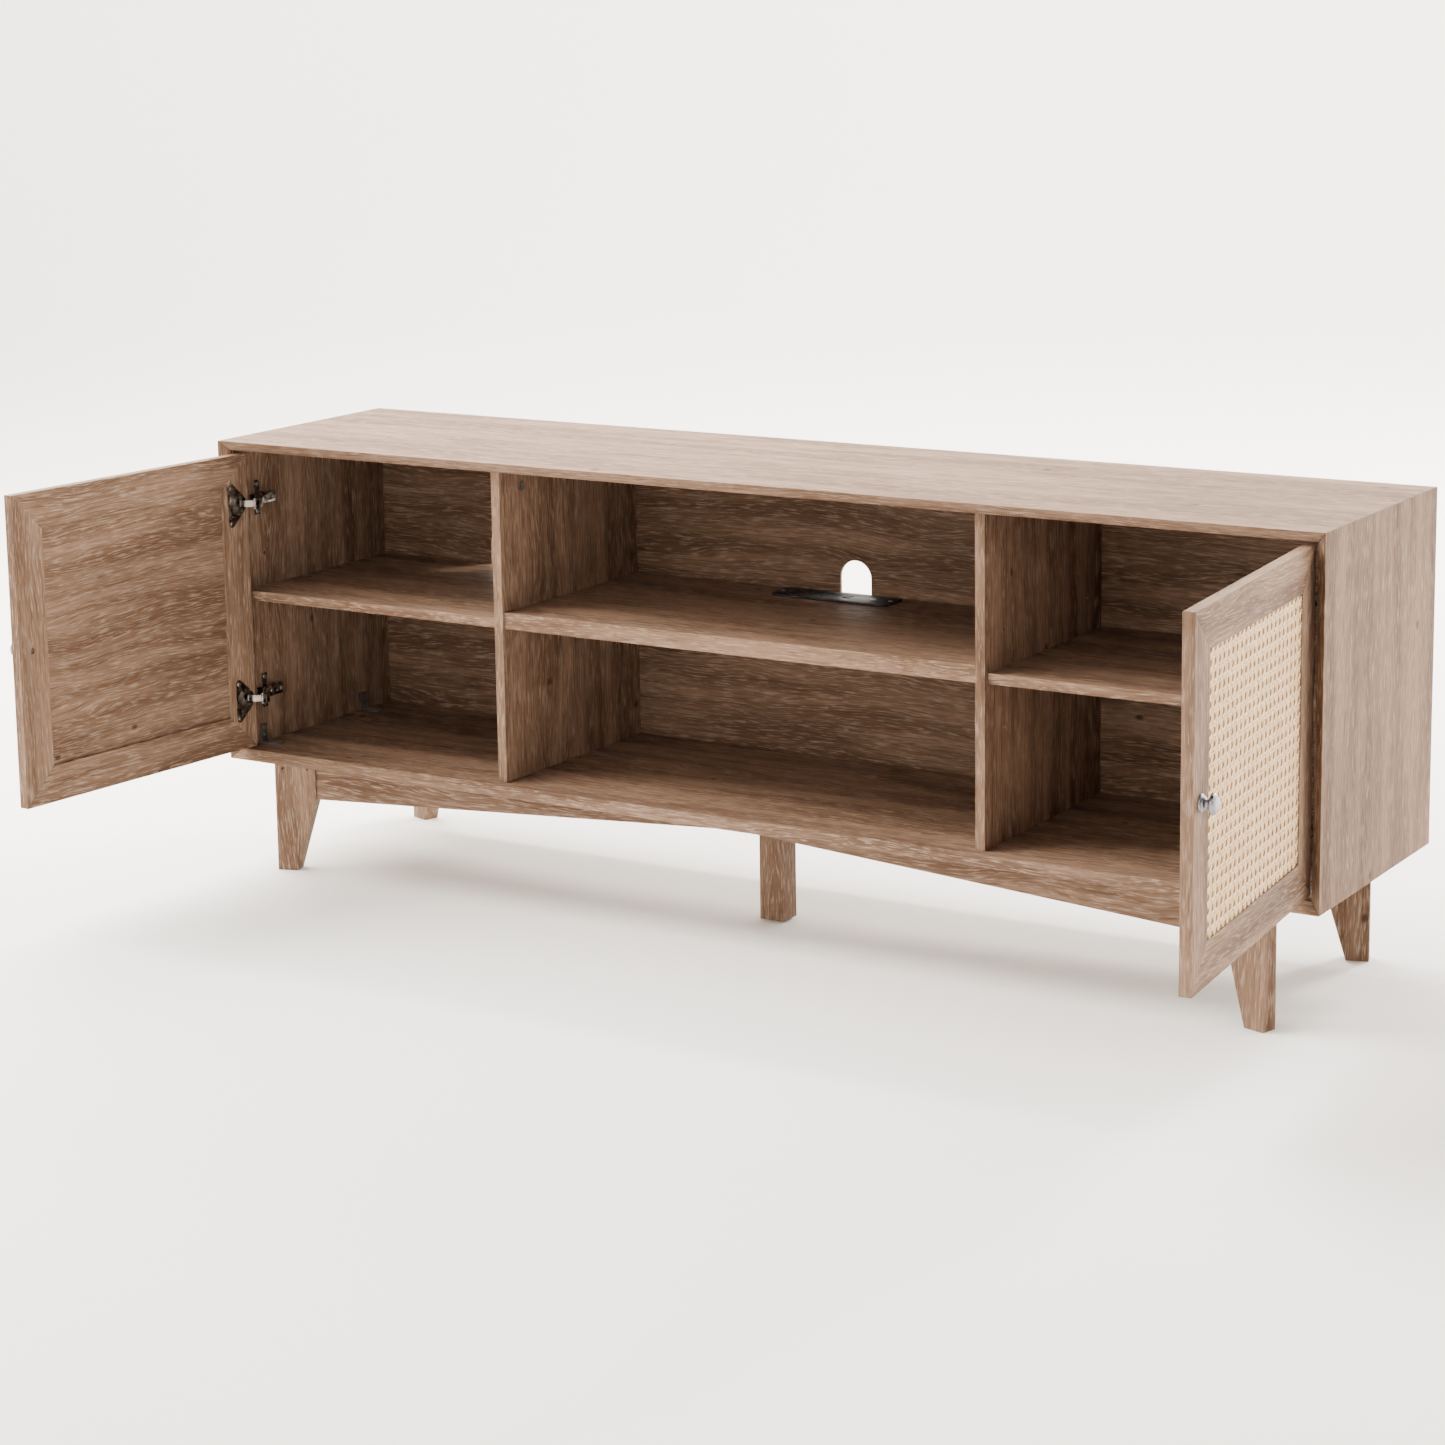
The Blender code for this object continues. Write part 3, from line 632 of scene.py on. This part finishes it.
class MetalSettings(bpy.types.PropertyGroup):
    nickel: swatch("Hinge nickel", "#8E8881", "Nickel plate on the hinges")
    zinc: swatch("Bracket zinc", "#9A9C9F", "Zinc plate on brackets and screws")
    satin: swatch("Knob nickel", "#8A8B91", "Satin nickel on the knobs")
    black: swatch("Black plastic", "#131315", "The outlet's mouldings")
    screw_radius: metres("Screw head", 0.0036, "Radius of a hinge screw's head")
    screw_height: metres("Screw height", 0.0014, "Height of a hinge screw's head")


class HoleSettings(bpy.types.PropertyGroup):
    pin_radius: metres("Pin radius", 0.0025, "Radius of a shelf pin and its hole")
    pin_depth: metres("Hole depth", 0.009, "Depth of a shelf-pin hole")
    pin_front: metres("Front holes", 0.0835, "Front holes, from the case's front")
    pin_back: metres("Back holes", 0.047, "Back holes, from the back panel")
    pin_pitch: metres("Hole pitch", 0.0677, "Height from one hole to the next")
    lock_radius: metres("Cam lock", 0.0075, "Radius of a cam lock")
    lock_drop: metres("Cam lock drop", 0.030, "Cam lock's middle, below the top panel")


class StageSettings(bpy.types.PropertyGroup):
    sweep: swatch("Sweep", "#FBFAF8", "Floor and backdrop")
    overhead: watts("Overhead light", 1000.0, "Wide softbox above the cabinet")
    key: watts("Key light", 340.0, "Smaller softbox behind and to the right")
    fill: watts("Fill light", 40.0, "Softbox in front and to the left")
    wash: watts("Backdrop light", 2900.0, "Softbox that lights the backdrop")
    sky: FloatProperty(name="Room light", description="Even light from the room", default=0.1)


class CabinetSettings(bpy.types.PropertyGroup):
    oak: PointerProperty(type=OakSettings)
    cane: PointerProperty(type=CaneSettings)
    metal: PointerProperty(type=MetalSettings)
    holes: PointerProperty(type=HoleSettings)
    stage: PointerProperty(type=StageSettings)


# Operators


class CABINET_OT_case(bpy.types.Operator):
    """Lays the oak finish on the case, with its pin holes and shelves"""

    bl_idname = "cabinet.case"
    bl_label = "Case"

    def execute(self, context):
        settings = context.scene.cabinet.holes
        holes = pin_holes(settings)
        sizes = (settings.pin_radius, settings.pin_depth)
        for node in ("top_panel", "bottom_panel", "shelf_left", "shelf_right", "shelf_centre"):
            board(node, oak(), "case", along=0)
        for side, s in SIDES.items():
            for node, towards in ((f"side_panel_{side}", s), (f"divider_{side}", -s)):
                bits = drills(face_of(node, -towards), towards, holes, *sizes)
                board(node, oak(), "case", along=2, tools=bits)
        for name in ("left", "centre", "right"):
            # The back panels get painted shade: a darker print for the shade inside the bays
            board(f"back_panel_{name}", oak_back_painted_shade(), "case", along=0, edge=BACK_EDGE)
        return {"FINISHED"}


class CABINET_OT_base(bpy.types.Operator):
    """Lays the oak finish on the legs and aprons"""

    bl_idname = "cabinet.base"
    bl_label = "Legs and aprons"

    def execute(self, context):
        for end in ("front", "rear"):
            board(f"apron_{end}", oak(), "case", along=0)
            for side in SIDES:
                board(f"leg_{end}_{side}", oak(), "case", along=2)
        board("leg_centre", oak(), "case", along=2)
        return {"FINISHED"}


class CABINET_OT_doors(bpy.types.Operator):
    """Lays the oak finish on the door frames, each member along its own grain"""

    bl_idname = "cabinet.doors"
    bl_label = "Door frames"

    def execute(self, context):
        for side in SIDES:
            space = door_space(side)
            body = f"door_{side}"
            bore = self.knob_bore(side, space)
            board(f"hinge_stile_{side}", oak(), body, 2, space)
            board(f"latch_stile_{side}", oak(), body, 2, space, tools=[bore])
            for name in ("top_rail", "bottom_rail", "door_back"):
                board(f"{name}_{side}", oak(), body, 0, space)
        return {"FINISHED"}

    def knob_bore(self, side, space):
        """A cutter for the bore of the knob's screw, in the back of the latch stile."""
        low, high = box_in(f"knob_{side}", space)
        back = box_in(f"latch_stile_{side}", space)[1].y
        middle = (low + high) / 2
        radius = 4.5 * MM
        bit = prism(circle((0, 0), radius, 24), -KNOB_BORE, PROUD)
        return moved(bit, space @ frame_on((middle.x, back, middle.z), (0, 1, 0)))


class CABINET_OT_cane(bpy.types.Operator):
    """Weaves six-way cane webbing over a backing sheet in each door"""

    bl_idname = "cabinet.cane"
    bl_label = "Cane webbing"

    # A strand's crowned section: across in half widths, and up in thicknesses
    SECTION = ((-1, -0.2), (-0.62, 0.4), (0, 0.55), (0.62, 0.4), (1, -0.2), (0, -0.45))
    # How far the strands stand off the backing, and rise and dip, in thicknesses
    STANDOFF = 2.1
    PAIR_RISE = 0.45
    CROSS_RISE = 1.05
    GAP = 0.15 * MM  # from a strand's ends to the frame
    SHORTEST = 3 * MM  # a shorter diagonal in a corner is left out
    RINGS = 8  # sections for each pitch of a strand

    def execute(self, context):
        cane = context.scene.cabinet.cane
        skin = shared("split_cane", split_cane, cane.strand, 0.5)
        paper = shared("cane_backing", split_cane, cane.backing, 0.0)
        for side in SIDES:
            space = door_space(side)
            body = f"door_{side}"
            node = f"rattan_panel_{side}"
            sheet = rounded(solid_of(node), SHEET_EDGE)
            lay_grain(show(f"{node}_backing", sheet, paper, body, "rattan"), space, 2)
            bm = self.webbing(side, space, cane)
            web = show(f"cane_webbing_{side}", moved(bm, space), skin, body, "rattan", smooth=60)
            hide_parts(node)
        return {"FINISHED"}

    def webbing(self, side, space, cane):
        """All the strands of one door, in the shut door's own axes."""
        left = box_in(f"latch_stile_{side}", space)
        right = box_in(f"hinge_stile_{side}", space)
        stile = left[1].x - left[0].x
        rail = box_in(f"bottom_rail_{side}", space)
        face = box_in(f"rattan_panel_{side}", space)[0].y
        low = Vector((left[0].x + stile, rail[1].z))
        high = Vector((right[1].x - stile, right[1].z - (rail[1].z - rail[0].z)))
        depth = face - self.STANDOFF * cane.thickness
        bm = bmesh.new()
        layer = bm.verts.layers.float_vector.new("grain")
        middle = (low + high) / 2
        inset = Vector((self.GAP, self.GAP))
        area = (low - middle + inset, high - middle - inset)
        for index, (start, end, rise, width) in enumerate(self.strands(area, cane)):
            self.strand(bm, layer, index, start, end, rise, width, cane, middle, depth)
        return bm

    def strands(self, area, cane):
        """Start, end, height rule and width of every strand, about the panel's middle."""
        low, high = area
        pitch, half = cane.pitch, cane.pair / 2
        turn = math.tau / pitch
        reach = math.ceil((high.x + high.y) / pitch)
        for axis in (0, 1):
            other = 1 - axis
            for step in range(-reach, reach + 1):
                for sign in (-1, 1):
                    at = step * pitch + sign * half
                    if not low[axis] + cane.width / 2 < at < high[axis] - cane.width / 2:
                        continue
                    start, end = Vector((0, 0)), Vector((0, 0))
                    start[axis] = end[axis] = at
                    start[other], end[other] = low[other], high[other]
                    lift = sign * (1 if axis == 0 else -1)

                    def rise(p, o=other, k=lift):
                        return self.PAIR_RISE * k * math.sin(p[o] * turn)

                    yield start, end, rise, cane.width
        for slope in (1, -1):
            for step in range(-reach, reach):
                offset = (step + 0.5) * pitch
                ends = self.clipped(low, high, slope, offset)
                if ends is None:
                    continue

                def rise(p, k=slope):
                    return self.CROSS_RISE * k * math.cos(p[0] * turn)

                yield *ends, rise, cane.cross_width

    def clipped(self, low, high, slope, offset):
        """The ends of the line y = slope * x + offset inside a rectangle."""
        across = sorted(((low.y - offset) / slope, (high.y - offset) / slope))
        first, last = max(low.x, across[0]), min(high.x, across[1])
        if last - first < self.SHORTEST:
            return None
        return Vector((first, slope * first + offset)), Vector((last, slope * last + offset))

    def strand(self, bm, layer, index, start, end, rise, width, cane, middle, depth):
        """One flat, crowned strand that dips and rises along its line."""
        run = end - start
        count = max(2, round(run.length / (cane.pitch / self.RINGS)))
        side = Vector((-run.y, run.x)).normalized() * width / 2
        corners = len(self.SECTION)
        last = None
        for i in range(count + 1):
            p = start + run * (i / count)
            loop = []
            for across, up in self.SECTION:
                q = p + side * across
                y = depth - cane.thickness * (rise(p) + up)
                vert = bm.verts.new((middle.x + q.x, y, middle.y + q.y))
                vert[layer] = (run.length * i / count, across * width / 2, index + 0.5)
                loop.append(vert)
            if last:
                for a in range(corners):
                    b = (a + 1) % corners
                    bm.faces.new((last[a], last[b], loop[b], loop[a]))
            else:
                bm.faces.new(loop[::-1])
            last = loop
        bm.faces.new(last)


class CABINET_OT_knobs(bpy.types.Operator):
    """Turns the door knobs and their screws"""

    bl_idname = "cabinet.knobs"
    bl_label = "Knobs"

    def execute(self, context):
        head = screw_head(radius=3.8 * MM, height=1.8 * MM)
        for side in SIDES:
            space, body = door_space(side), f"door_{side}"
            low, high = box_in(f"knob_{side}", space)
            middle = (low + high) / 2
            out, radius = high.y - low.y, (high.z - low.z) / 2
            seat = space @ frame_on((middle.x, high.y, middle.z), (0, -1, 0))
            bm = moved(lathe(self.profile(radius, out), 96), seat)
            knob = show(f"knob_{side}_turned", bm, satin_nickel(), body, "brushed_nickel", smooth=50)
            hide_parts(f"knob_{side}")
            back = box_in(f"latch_stile_{side}", space)[1].y
            sunk = space @ frame_on((middle.x, back - KNOB_SCREW_SUNK, middle.z), (0, 1, 0))
            fix(f"knob_{side}_screw", head, sunk, body)
        head.free()
        return {"FINISHED"}

    def profile(self, radius, out):
        """Foot, neck and cushioned head, from the door outwards."""
        base, neck = radius * 0.81, radius * 0.36
        waist, waist_rise = base - 3.0 * MM, 4.7 * MM
        crown = 6.2 * MM
        points = [(0, 0)]
        # In from the foot's rim, and up from the door, in millimetres
        for inset, height in ((0, 0), (0, 1.9), (0.5, 2.5), (1.9, 2.9), (2.3, 3.3), (2.4, 4.6)):
            points.append((base - inset * MM, height * MM))
        foot_top = 5.3 * MM
        for i in range(9):
            t = i / 9
            points.append((neck + (waist - neck) * (1 - t) ** 3, foot_top + waist_rise * t))
        # Shares of the radius, and down from the crown, in millimetres
        for share, drop in ((0.36 * 1.02, 9.8), (0.36 * 1.25, 9.2), (0.80, 8.4), (0.93, 7.6)):
            points.append((radius * share, out - drop * MM))
        for i in range(13):
            t = math.pi / 2 * i / 13
            points.append((radius * math.cos(t) ** 0.55, out - crown + crown * math.sin(t) ** 1.1))
        points.append((0, out))
        return points


class CABINET_OT_hinges(bpy.types.Operator):
    """Finishes the cup hinges and adds their screws and pressed ribs"""

    bl_idname = "cabinet.hinges"
    bl_label = "Hinges"

    TAB = 6.5 * MM  # from a cup plate's edges to its screws
    RIB_RISE = 17.5 * MM  # from a cup's middle up or down to its ribs
    RIB_IN = 9 * MM  # from the cup's screws across to its ribs
    WEB_OUT = 15.7 * MM  # from the side panel to the arm's outer face
    SLOT_IN = 19 * MM  # from an arm's back end to its slot
    ARM_SCREWS = {"rear": 8 * MM, "front": 30 * MM}  # from an arm's back end
    PLATE_OUT = 1.7 * MM  # from the side panel to a mounting plate's face
    PLATE_SCREW_IN = 31 * MM  # from an arm's back end to its plate's screws
    PLATE_SCREW_EDGE = 6 * MM  # from a plate's ends to its screws

    def execute(self, context):
        head = screw_head(metal().screw_radius, metal().screw_height)
        for side, s in SIDES.items():
            for level in LEVELS:
                self.cup(side, level, head)
                self.arm(side, s, level, head)
        head.free()
        return {"FINISHED"}

    def cup(self, side, level, head):
        """The cup, its two screws and the two pressed ribs beside them."""
        space, body = door_space(side), f"door_{side}"
        node = f"hinge_cup_{side}_{level}"
        fitting(node, nickel(), body)
        low, high = box_in(node, space)
        middle = (low.z + high.z) / 2
        for name, z in (("top", high.z - self.TAB), ("foot", low.z + self.TAB)):
            seat = space @ frame_on((low.x + self.TAB, high.y, z), (0, 1, 0))
            fix(f"{node}_screw_{name}", head, seat, body, nickel, "nickel")
            rib = self.rib(width=3.2 * MM, length=9 * MM)
            near = middle + math.copysign(self.RIB_RISE, z - middle)
            seat = space @ frame_on((low.x + self.TAB + self.RIB_IN, high.y, near), (0, 1, 0))
            show(f"{node}_rib_{name}", moved(rib, seat), nickel(), body, "nickel")

    def rib(self, width, length):
        """A low pressed rib with rounded ends, rising from Z = 0."""
        sunk, height, edge = 0.2 * MM, 0.6 * MM, 0.35 * MM
        half = length / 2 - width / 2
        outline = []
        for centre, start in ((half, -math.pi / 2), (-half, math.pi / 2)):
            for i in range(9):
                t = start + math.pi * i / 8
                outline.append((centre + width / 2 * math.cos(t), width / 2 * math.sin(t)))
        return rounded(prism(outline, -sunk, height), edge, 3)

    def arm(self, side, s, level, head):
        """The link, arm and mounting plate, and the screws that hold and adjust them."""
        fitting(f"hinge_link_{side}_{level}", nickel(), f"hinge_links_{side}", edge=LINK_EDGE)
        arm, plate_node = f"hinge_arm_{side}_{level}", f"mounting_plate_{side}_{level}"
        low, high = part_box(arm)
        plate_low, plate_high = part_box(plate_node)
        middle = (low.z + high.z) / 2
        wall = face_of(plate_node, s)
        web = wall - s * self.WEB_OUT
        slot = plate(3.4 * MM, 7 * MM, -3 * MM, 3 * MM)
        tools = [moved(slot, frame_on((web, high.y - self.SLOT_IN, middle), (-s, 0, 0)))]
        fitting(arm, nickel(), "case", tools=tools)
        fitting(plate_node, nickel(), "case")
        for name, inset in self.ARM_SCREWS.items():
            seat = frame_on((web - s * 0.1 * MM, high.y - inset, middle), (-s, 0, 0))
            fix(f"{arm}_screw_{name}", head, seat)
        y = high.y - self.PLATE_SCREW_IN
        edge = self.PLATE_SCREW_EDGE
        for name, z in (("top", plate_high.z - edge), ("foot", plate_low.z + edge)):
            seat = frame_on((wall - s * self.PLATE_OUT, y, z), (-s, 0, 0))
            fix(f"{plate_node}_screw_{name}", head, seat)


class CABINET_OT_fixings(bpy.types.Operator):
    """Adds brackets, shelf pins and cam locks"""

    bl_idname = "cabinet.fixings"
    bl_label = "Brackets, pins and locks"

    STEEL = 2 * MM  # thickness of a bracket
    FLOOR_SCREWS = (14 * MM, 28 * MM)  # from the side panel
    WALL_SCREWS = (11 * MM, 22 * MM)  # from the bracket's foot
    LOCK_SLOT = (10 * MM, 1.6 * MM)  # length and width of a cam lock's two slots

    def execute(self, context):
        settings = context.scene.cabinet.holes
        small = screw_head(radius=3.0 * MM, height=1.3 * MM)
        for side, s in SIDES.items():
            for end in ("front", "rear"):
                self.bracket(f"bracket_{end}_{side}", s, small)
            self.shelf_pins(side, s, settings)
            self.cam_locks(side, s, settings)
        small.free()
        return {"FINISHED"}

    def bracket(self, node, s, head):
        fitting(node, zinc(), "case", edge=BRACKET_EDGE)
        low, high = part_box(node)
        y = (low.y + high.y) / 2
        wall = face_of(node, s)
        for i, reach in enumerate(self.FLOOR_SCREWS):
            seat = frame_on((wall - s * reach, y, low.z + self.STEEL), (0, 0, 1), up=(0, 1, 0))
            fix(f"{node}_floor_screw_{i}", head, seat)
        for i, rise in enumerate(self.WALL_SCREWS):
            seat = frame_on((wall - s * self.STEEL, y, low.z + rise), (-s, 0, 0))
            fix(f"{node}_wall_screw_{i}", head, seat)

    def shelf_pins(self, side, s, settings):
        """Steel pins with a collar under the loose shelves."""
        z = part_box(f"shelf_{side}")[0].z - settings.pin_radius - 0.1 * MM
        faces = {
            "wall": (face_of(f"side_panel_{side}", -s), -s),
            "post": (face_of(f"divider_{side}", s), s),
        }
        for where, (x, towards) in faces.items():
            for end, y in pin_rows(settings, side).items():
                bm = moved(self.pin(settings.pin_radius), frame_on((x, y, z), (towards, 0, 0)))
                show(f"shelf_pin_{side}_{where}_{end}", bm, zinc(), "case", "steel")

    def pin(self, radius):
        """A pin that stands out of the board at Z = 0, with a collar against the board."""
        sunk, out, collar_low, collar_top = 7 * MM, 9 * MM, 0.1 * MM, 1.2 * MM
        shank = prism(circle((0, 0), radius * 0.96, 24), -sunk, out)
        collar = prism(circle((0, 0), radius * 1.5, 24), collar_low, collar_top)
        return rounded(carved(shank, [collar], "UNION"), 0.25 * MM)

    def cam_locks(self, side, s, settings):
        """Slotted discs in the dividers' inner faces, almost flush with the wood."""
        x = face_of(f"divider_{side}", -s)
        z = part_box("top_panel")[0].z - settings.lock_drop
        for end, y in pin_rows(settings, side).items():
            bm = moved(self.lock(settings.lock_radius), frame_on((x, y, z), (-s, 0, 0)))
            show(f"cam_lock_{side}_{end}", bm, zinc(), "case", "steel")

    def lock(self, radius):
        """A disc let into the board at Z = 0, with two crossed slots."""
        sunk, out, slot_floor = 1 * MM, 0.35 * MM, 0.6 * MM
        disc = prism(circle((0, 0), radius, 40), -sunk, out)
        long, wide = self.LOCK_SLOT
        slots = [plate(*size, -slot_floor, 1 * MM) for size in ((long, wide), (wide, long))]
        return rounded(carved(disc, slots), 0.15 * MM)


class CABINET_OT_outlet(bpy.types.Operator):
    """Finishes the power outlet, with its sockets, ports and screws"""

    bl_idname = "cabinet.outlet"
    bl_label = "Power outlet"

    # Places on the cover, from its middle
    SOCKETS = (-62 * MM, -22 * MM)
    PORTS = ((20 * MM, -6 * MM), (20 * MM, 6 * MM))
    LAMP = 63 * MM
    SCREWS = (-92 * MM, 92 * MM)
    OPENING = 9 * MM  # depth of the sockets' and ports' openings

    def execute(self, context):
        low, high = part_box("outlet_cover")
        middle = (low + high) / 2
        deck = frame_on((middle.x, middle.y, high.z), (0, 0, 1), up=(0, 1, 0))
        tools = []
        for x in self.SOCKETS:
            tools += self.socket(x)
        for centre in self.PORTS:
            tools.append(plate(13.5 * MM, 5.6 * MM, -self.OPENING, PROUD, centre))
        cutters = [moved(tool, deck) for tool in tools]
        fitting("outlet_cover", black_abs(), "case", tools=cutters, edge=MOULDED_EDGE)
        fitting("outlet_body", black_abs(), "case")
        for i, (x, y) in enumerate(self.PORTS):
            tongue = plate(11 * MM, 1.6 * MM, -3 * MM, -0.9 * MM, (x, y + 1 * MM))
            name = f"outlet_port_tongue_{i}"
            show(name, moved(tongue, deck), black_abs(), "case", "black_plastic")
        white = shared("white_abs", moulded_abs, colour("#F2F1EC"), 0.3)
        at = deck @ Matrix.Translation((self.LAMP, 0, 0))
        show("outlet_indicator", moved(self.bead(), at), white, "case", "black_plastic")
        head = screw_head(radius=3.2 * MM, height=1.2 * MM)
        for i, x in enumerate(self.SCREWS):
            at = deck @ Matrix.Translation((x, 0, 0))
            fix(f"outlet_screw_{i}", head, at)
        head.free()
        return {"FINISHED"}

    def socket(self, x):
        """Cutters for one grounded socket: a shallow face and its three openings."""
        low = -self.OPENING
        face = prism(circle((x, 0), 16.5 * MM, 48), -0.9 * MM, PROUD)
        tall = plate(1.9 * MM, 8 * MM, low, PROUD, (x - 6 * MM, 3 * MM))
        short = plate(1.9 * MM, 7 * MM, low, PROUD, (x + 6 * MM, 3 * MM))
        earth = prism(circle((x, -8 * MM), 2.4 * MM, 20), low, PROUD)
        return [face, tall, short, earth]

    def bead(self):
        """The indicator's oval lens, crowned at its edge."""
        long, wide = 5 * MM, 2.6 * MM
        outline = [(long * math.cos(t), wide * math.sin(t)) for t in turns(32)]
        return rounded(prism(outline, -0.3 * MM, 0.9 * MM), 0.5 * MM, 3)


class CABINET_OT_stage(bpy.types.Operator):
    """Sets up the pale sweep, the soft lights and the camera"""

    bl_idname = "cabinet.stage"
    bl_label = "Stage"

    MIDDLE = (0.0, 0.0, 0.4)  # the cabinet's middle, which the lights face
    WALL = (0.0, 9.5, 1.5)  # the backdrop behind it
    # Each light's place, aim and size in metres, and the setting for its power
    LIGHTS = {
        "overhead_light": ((-2.5, -0.1, 3.5), MIDDLE, (5.0, 4.0), "overhead"),
        "key_light": ((1.7, 4.4, 3.0), MIDDLE, (1.0, 1.0), "key"),
        "fill_light": ((-0.7, -5.0, 1.8), MIDDLE, (2.5, 2.0), "fill"),
        "backdrop_light": ((0.0, 3.5, 6.5), WALL, (12.0, 3.0), "wash"),
    }
    EYE = (2.4397, -4.0807, 1.4144)  # the camera's place, in metres
    YAW, PITCH, ROLL = 31.77, 10.45, -0.85  # the camera's turns, in degrees
    SENSOR, LENS, SHIFT = 36.0, 83.62, -0.1125  # millimetres, and a share of the width

    def execute(self, context):
        stage = context.scene.cabinet.stage
        self.sweep(stage)
        for name, (place, aim, size, setting) in self.LIGHTS.items():
            self.softbox(name, place, aim, size, getattr(stage, setting))
        world = bpy.data.worlds.new("room")
        world.use_nodes = True
        tree = world.node_tree
        tree.nodes.clear()
        sky = add(tree, "Background", {"Color": colour("#FFFDFA"), "Strength": stage.sky})
        add(tree, "OutputWorld", {"Surface": sky.outputs[0]})
        context.scene.world = world
        self.camera()
        return {"FINISHED"}

    def sweep(self, stage):
        """A round floor that curves up into a pale wall on every side."""
        floor, curve, top, steps = 8.0, 2.5, 9.0, 96
        bends = [math.pi / 2 * i / 16 for i in range(17)]
        line = [(floor + curve * math.sin(t), curve - curve * math.cos(t)) for t in bends]
        bm = bmesh.new()
        rings = [ring(bm, circle((0, 0), r, steps), z) for r, z in [*line, (floor + curve, top)]]
        bm.faces.new(rings[0])
        for lower, upper in zip(rings, rings[1:]):
            for i, vert in enumerate(lower):
                j = (i + 1) % steps
                bm.faces.new((lower[j], vert, upper[i], upper[j]))
        mesh = mesh_of("studio_sweep", bm)
        mesh.shade_smooth()
        mesh.materials.append(shared("studio_paint", painted_sweep, stage.sweep))
        placed("studio_sweep", mesh)

    def softbox(self, name, place, aim, size, power):
        """A rectangular light at a place, turned towards its aim."""
        light = bpy.data.lights.new(name, "AREA")
        light.shape = "RECTANGLE"
        light.size, light.size_y = size
        light.energy = power
        light.color = colour("#FFF8F0")[:3]
        obj = placed(name, light)
        obj.location = place
        obj.rotation_euler = (Vector(aim) - Vector(place)).to_track_quat("-Z", "Y").to_euler()

    def camera(self):
        """Right of the cabinet and above it, looking down a little."""
        data = bpy.data.cameras.new("camera")
        data.sensor_width = self.SENSOR
        data.lens = self.LENS
        data.shift_y = self.SHIFT
        data.clip_end = 100.0
        yaw, pitch, roll = (math.radians(a) for a in (self.YAW, self.PITCH, self.ROLL))
        turn = Matrix.Rotation(yaw, 4, "Z") @ Matrix.Rotation(math.pi / 2 - pitch, 4, "X")
        turn = turn @ Matrix.Rotation(roll, 4, "Z")
        obj = placed("camera", data)
        obj.matrix_world = Matrix.Translation(self.EYE) @ turn
        bpy.context.scene.camera = obj


STEPS = (
    CABINET_OT_case,
    CABINET_OT_base,
    CABINET_OT_doors,
    CABINET_OT_cane,
    CABINET_OT_knobs,
    CABINET_OT_hinges,
    CABINET_OT_fixings,
    CABINET_OT_outlet,
    CABINET_OT_stage,
)


class CABINET_PT_looks(bpy.types.Panel):
    """The settings, and a button for each step"""

    bl_idname = "CABINET_PT_looks"
    bl_label = "Cabinet looks"
    bl_space_type = "VIEW_3D"
    bl_region_type = "UI"
    bl_category = "Cabinet"

    def draw(self, context):
        settings = context.scene.cabinet
        for group in ("oak", "cane", "metal", "holes", "stage"):
            column = self.layout.box().column()
            values = getattr(settings, group)
            for name in values.__annotations__:
                column.prop(values, name)
        for step in STEPS:
            self.layout.operator(step.bl_idname)


CLASSES = (
    OakSettings,
    CaneSettings,
    MetalSettings,
    HoleSettings,
    StageSettings,
    CabinetSettings,
    *STEPS,
    CABINET_PT_looks,
)


def register():
    for cls in CLASSES:
        bpy.utils.register_class(cls)
    bpy.types.Scene.cabinet = PointerProperty(type=CabinetSettings)


def unregister():
    del bpy.types.Scene.cabinet
    for cls in reversed(CLASSES):
        bpy.utils.unregister_class(cls)


def main():
    register()
    for step in STEPS:
        group, name = step.bl_idname.split(".")
        getattr(getattr(bpy.ops, group), name)()


if __name__ == "__main__":
    main()
